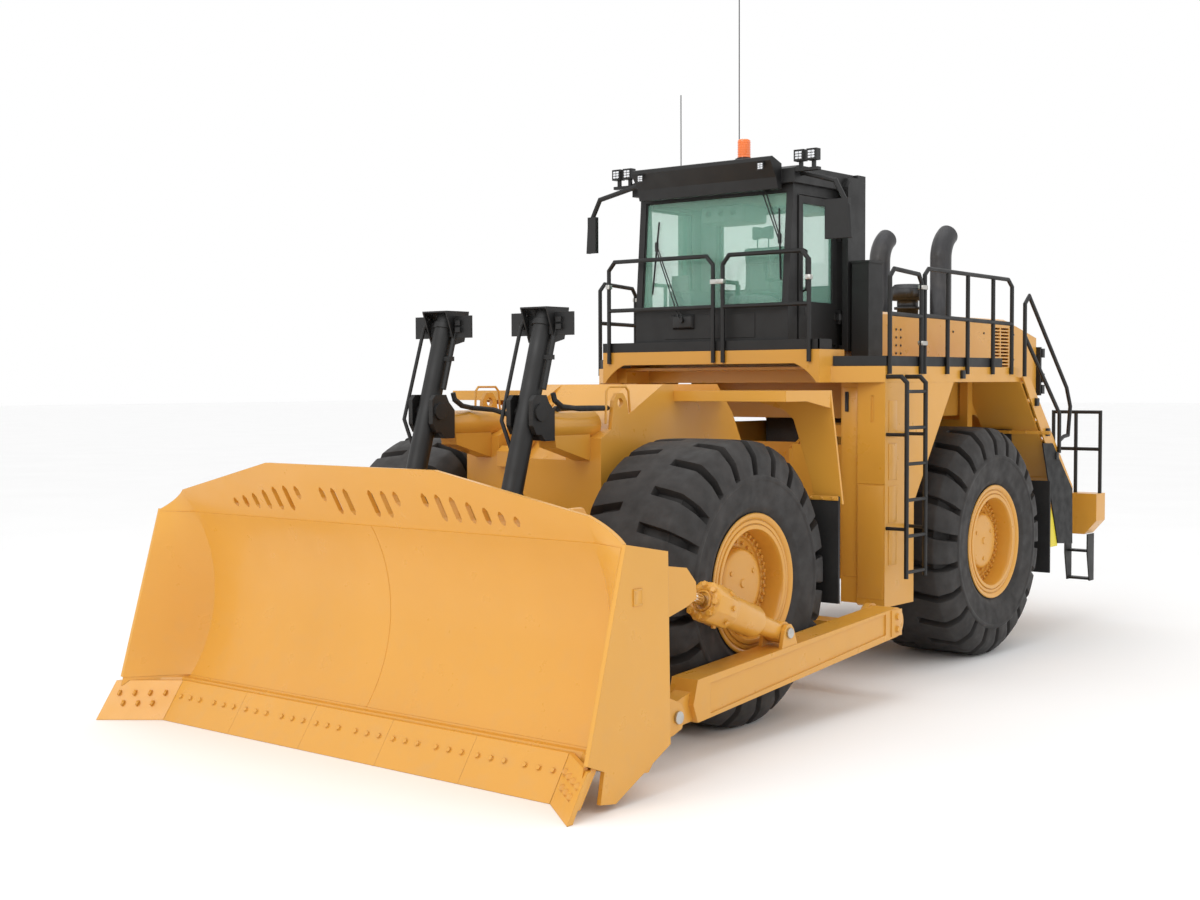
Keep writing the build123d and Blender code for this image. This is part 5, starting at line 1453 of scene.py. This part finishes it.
@dataclass
class PinEnds:
    """Pin ends at the arms and the blade, the rear pivots' bolted caps and the nose's grab handles."""

    out: float = 2.330
    tilt_pin_x: float = 2.326
    tilt_pin_radius: float = 0.045
    handle_x: float = 0.78
    blade_pin: tuple[float, float] = (-3.850, 0.390)
    tilt_pin: tuple[float, float] = (-2.275, 0.840)

    def build(self) -> None:
        """Make each side's pieces."""
        radius = self.tilt_pin_radius
        profile = ((0.0, 0.0), (0.0, radius), (0.014, radius), (0.020, radius - 0.006), (0.020, 0.0))
        for side_name, side in SIDES:
            disc = turned(profile, 32, "disc")
            disc.data.transform(Matrix.Translation((self.tilt_pin_x, *self.tilt_pin)))
            smooth(disc, 35.0)
            fit(handed(disc, "pin_ends", side_name, side), Finish.STEEL, Body.ARMS)
            low, high = sorted((side * self.out, side * (self.out + 0.012)))
            cap = block((low, -0.560, 0.590), (high, -0.370, 0.835), 0.004)
            places = [facing((side * (self.out + 0.012), -0.465, z), (side, 0, 0)) for z in (0.655, 0.770)]
            bolts = copied(bolt(0.030, 0.022), places, "cap_bolts")
            fit(joined([cap, bolts], f"pivot_cap_{side_name}"), Finish.YELLOW, Body.ARMS)
            y, z = self.blade_pin
            pin = rod((side * self.out, y, z), (side * (self.out + 0.022), y, z), 0.050, 32)
            bevelled(pin, 0.005).name = f"blade_pin_{side_name}"
            fit(pin, Finish.STEEL, Body.BLADE)
            bends = (
                (-2.800, 2.58), (-2.790, 2.860), (-2.755, 2.900), (-2.520, 2.900), (-2.480, 2.860),
                (-2.450, 2.58),
            )
            loop = [(side * self.handle_x, y, z) for y, z in bends]
            handle = pipe(loop, 0.011, f"grab_handle_{side_name}", smoothed=False)
            fit(handle, Finish.YELLOW, Body.FRONT)


# ------------------------------------------------------------------------------ decks and hood
@dataclass
class DeckFittings:
    """Rail clamps, tank panels and gauge, flap strips, stair lamps and hood bolts."""

    tank_x: float = 1.800
    tank_y: float = 0.270
    step_y: float = 0.300
    hood_x: float = 1.130
    flap_bolts: int = 5

    def clamps(self) -> None:
        """Silver pipe clamps where the rails meet."""
        parts = [
            block((0.088, -0.268, 3.930), (0.252, -0.212, 3.978), 0.006),
            block((1.218, -0.268, 3.930), (1.272, -0.212, 3.978), 0.006),
            block((-1.272, -0.268, 3.930), (-1.218, -0.212, 3.978), 0.006),
            block((0.150, -0.276, 3.944), (0.190, -0.205, 3.964), 0.004),
        ]
        for side in (-1, 1):
            low, high = sorted((side * 1.790, side * 1.850))
            parts.append(block((low, 0.940, 3.860), (high, 1.050, 3.905), 0.006))
            parts.append(block((low, 0.940, 3.300), (high, 1.050, 3.345), 0.006))
        fit(joined(parts, "rail_clamps"), Finish.STEEL, Body.REAR)

    def tanks(self) -> None:
        """Raised panels on the tanks with a sight gauge on the left one."""
        for side_name, side in SIDES:
            parts = [block((1.500, self.tank_y - 0.006, 0.80), (1.785, self.tank_y + 0.001, 1.915), 0.003),
                     block((1.305, self.step_y - 0.006, 1.000), (1.475, self.step_y + 0.001, 2.880), 0.003)]
            for number in range(4):
                z = 1.130 + 0.420 * number
                low, high = (self.tank_x - 0.001, 0.340, z), (self.tank_x + 0.006, 0.500, z + 0.360)
                parts.append(block(low, high, 0.003))
            plates = handed(joined(parts, "tank_panels"), "tank_panels", side_name, side)
            fit(plates, Finish.YELLOW, host("side_tanks"))
        low, high = (1.340, self.step_y - 0.022, 2.640), (1.382, self.step_y - 0.004, 2.840)
        gauge = block(low, high, 0.020, "sight_gauge")
        edit(gauge)
        pick(gauge, lambda centre, normal: normal.y < -0.95)
        bpy.ops.mesh.inset(thickness=0.004, depth=-0.004)
        done()
        fit(gauge, Finish.PLASTIC, host("side_tanks"))

    def flaps(self) -> None:
        """A bolted clamp strip along the top of each flap."""
        strips = (
            ("front_mudflaps", 1.500, 2.070, -1.062, 1.865),
            ("rear_mudflaps", 1.000, 1.980, 3.745, 2.330),
        )
        shares = [(i + 0.5) / self.flap_bolts for i in range(self.flap_bolts)]
        for node, x0, x1, y, z in strips:
            for side_name, side in SIDES:
                strip = block((x0, y - 0.010, z), (x1, y, z + 0.040), 0.003)
                spots = [x0 + (x1 - x0) * share for share in shares]
                places = [facing((x, y - 0.010, z + 0.020), (0, -1, 0)) for x in spots]
                whole = joined([strip, copied(bolt(0.013, 0.012), places, "flap_bolts")], "strip")
                fit(handed(whole, f"{node}_strip", side_name, side), Finish.YELLOW, host(node))

    def step_lamps(self) -> None:
        """Small lamps on the stairs' stringers and at the deck's edge."""
        for side_name, side in SIDES:
            parts = []
            for y, z in ((3.637, 2.700), (3.944, 2.350), (4.190, 2.070), (1.890, 3.010)):
                x = 1.850 if y > 3 else 1.802
                parts.append(block((x, y - 0.035, z - 0.045), (x + 0.035, y + 0.035, z + 0.045), 0.008))
            whole = handed(joined(parts, "step_lamps"), "step_lamps", side_name, side)
            fit(whole, Finish.PLASTIC, Body.REAR)

    def hood_bolts(self) -> None:
        """Bolt groups on the hood's sides."""
        places = []
        for side in (-1, 1):
            for y in (1.70, 1.80):
                for row in range(4):
                    places.append(facing((side * self.hood_x, y, 3.24 + 0.085 * row), (side, 0, 0)))
            for y in (2.30, 3.02, 3.80, 4.60):
                for z in (3.20, 3.50):
                    places.append(facing((side * self.hood_x, y, z), (side, 0, 0)))
        fit(copied(bolt(0.011, 0.010), places, "hood_bolts"), Finish.IRON, host("hood"))

    def build(self) -> None:
        """Add the fittings."""
        self.clamps()
        self.tanks()
        self.flaps()
        self.step_lamps()
        self.hood_bolts()


# ------------------------------------------------------------------------------ stage
@dataclass
class Studio:
    """Pale floor, soft lights and the camera."""

    eye: Point = (9.49, -13.539, 2.932)
    yaw: float = 39.25
    pitch: float = -2.40
    roll: float = -0.20
    sensor: float = 36.0
    lens: float = 47.868

    def floor(self) -> None:
        """A pale plain floor."""
        deselect()
        bpy.ops.mesh.primitive_plane_add(size=400.0, location=(0, 0, -0.002))
        plane = bpy.context.object
        plane.name = "floor"
        shader = Shader("pale_floor")
        patches = shader.ranged(shader.noise(0.4, 2.0), 0.3, 0.7, (0.0, 1.0))
        shader.feed("Base Color", shader.blended(patches, (0.95, 0.95, 0.95), (0.97, 0.97, 0.97)))
        shader.set(Roughness=0.9)
        plane.data.materials.append(shader.material)

    def lights(self) -> None:
        """A white surround, a large key light and two fills."""
        world = bpy.data.worlds.new("studio")
        bpy.context.scene.world = world
        world.use_nodes = True
        background = world.node_tree.nodes["Background"]
        background.inputs["Color"].default_value = (1.0, 1.0, 1.0, 1.0)
        background.inputs["Strength"].default_value = 1.0
        bpy.context.scene.view_settings.view_transform = "Standard"
        for name, place, aim, size, power in (
            ("key", (1.0, -15.0, 11.0), (0.0, -1.0, 1.5), 9.0, 650.0),
            ("side_fill", (15.0, -3.0, 9.0), (0.0, 0.0, 1.5), 8.0, 60.0),
            ("top", (0.0, 2.0, 14.0), (0.0, 1.0, 0.0), 10.0, 250.0),
        ):
            light = bpy.data.lights.new(name, "AREA")
            light.size = size
            light.energy = power
            lamp = bpy.data.objects.new(name, light)
            lamp.location = place
            lamp.rotation_euler = (Vector(aim) - Vector(place)).to_track_quat("-Z", "Y").to_euler()
            bpy.context.collection.objects.link(lamp)

    def camera(self) -> None:
        """The camera at standing height before the blade's left corner."""
        yaw, pitch, roll = (math.radians(a) for a in (self.yaw, self.pitch, self.roll))
        ahead = Vector((-math.sin(yaw) * math.cos(pitch), math.cos(yaw) * math.cos(pitch), math.sin(pitch)))
        right = Vector((math.cos(yaw), math.sin(yaw), 0.0))
        up = right.cross(ahead)
        tilted = right * math.cos(roll) + up * math.sin(roll)
        upward = up * math.cos(roll) - right * math.sin(roll)
        data = bpy.data.cameras.new("camera")
        data.sensor_width = self.sensor
        data.lens = self.lens
        data.clip_end = 600.0
        obj = bpy.data.objects.new("camera", data)
        turn = Matrix((tilted, upward, -ahead)).transposed().to_4x4()
        obj.matrix_world = Matrix.Translation(self.eye) @ turn
        bpy.context.collection.objects.link(obj)
        bpy.context.scene.camera = obj

    def build(self) -> None:
        """Set the stage."""
        self.floor()
        self.lights()
        self.camera()


def main() -> None:
    """Build the scene in order."""
    logging.basicConfig(level=logging.INFO, format="%(name)s: %(message)s")
    Studio().build()
    dress_carried()
    Wheels().build()
    BladeFittings().build()
    Seat().build()
    CabInterior().build()
    CabExterior().build()
    for side_name, side in SIDES:
        TiltCylinder(side_name, side).build()
    PinEnds().build()
    DeckFittings().build()


if __name__ == "__main__":
    main()
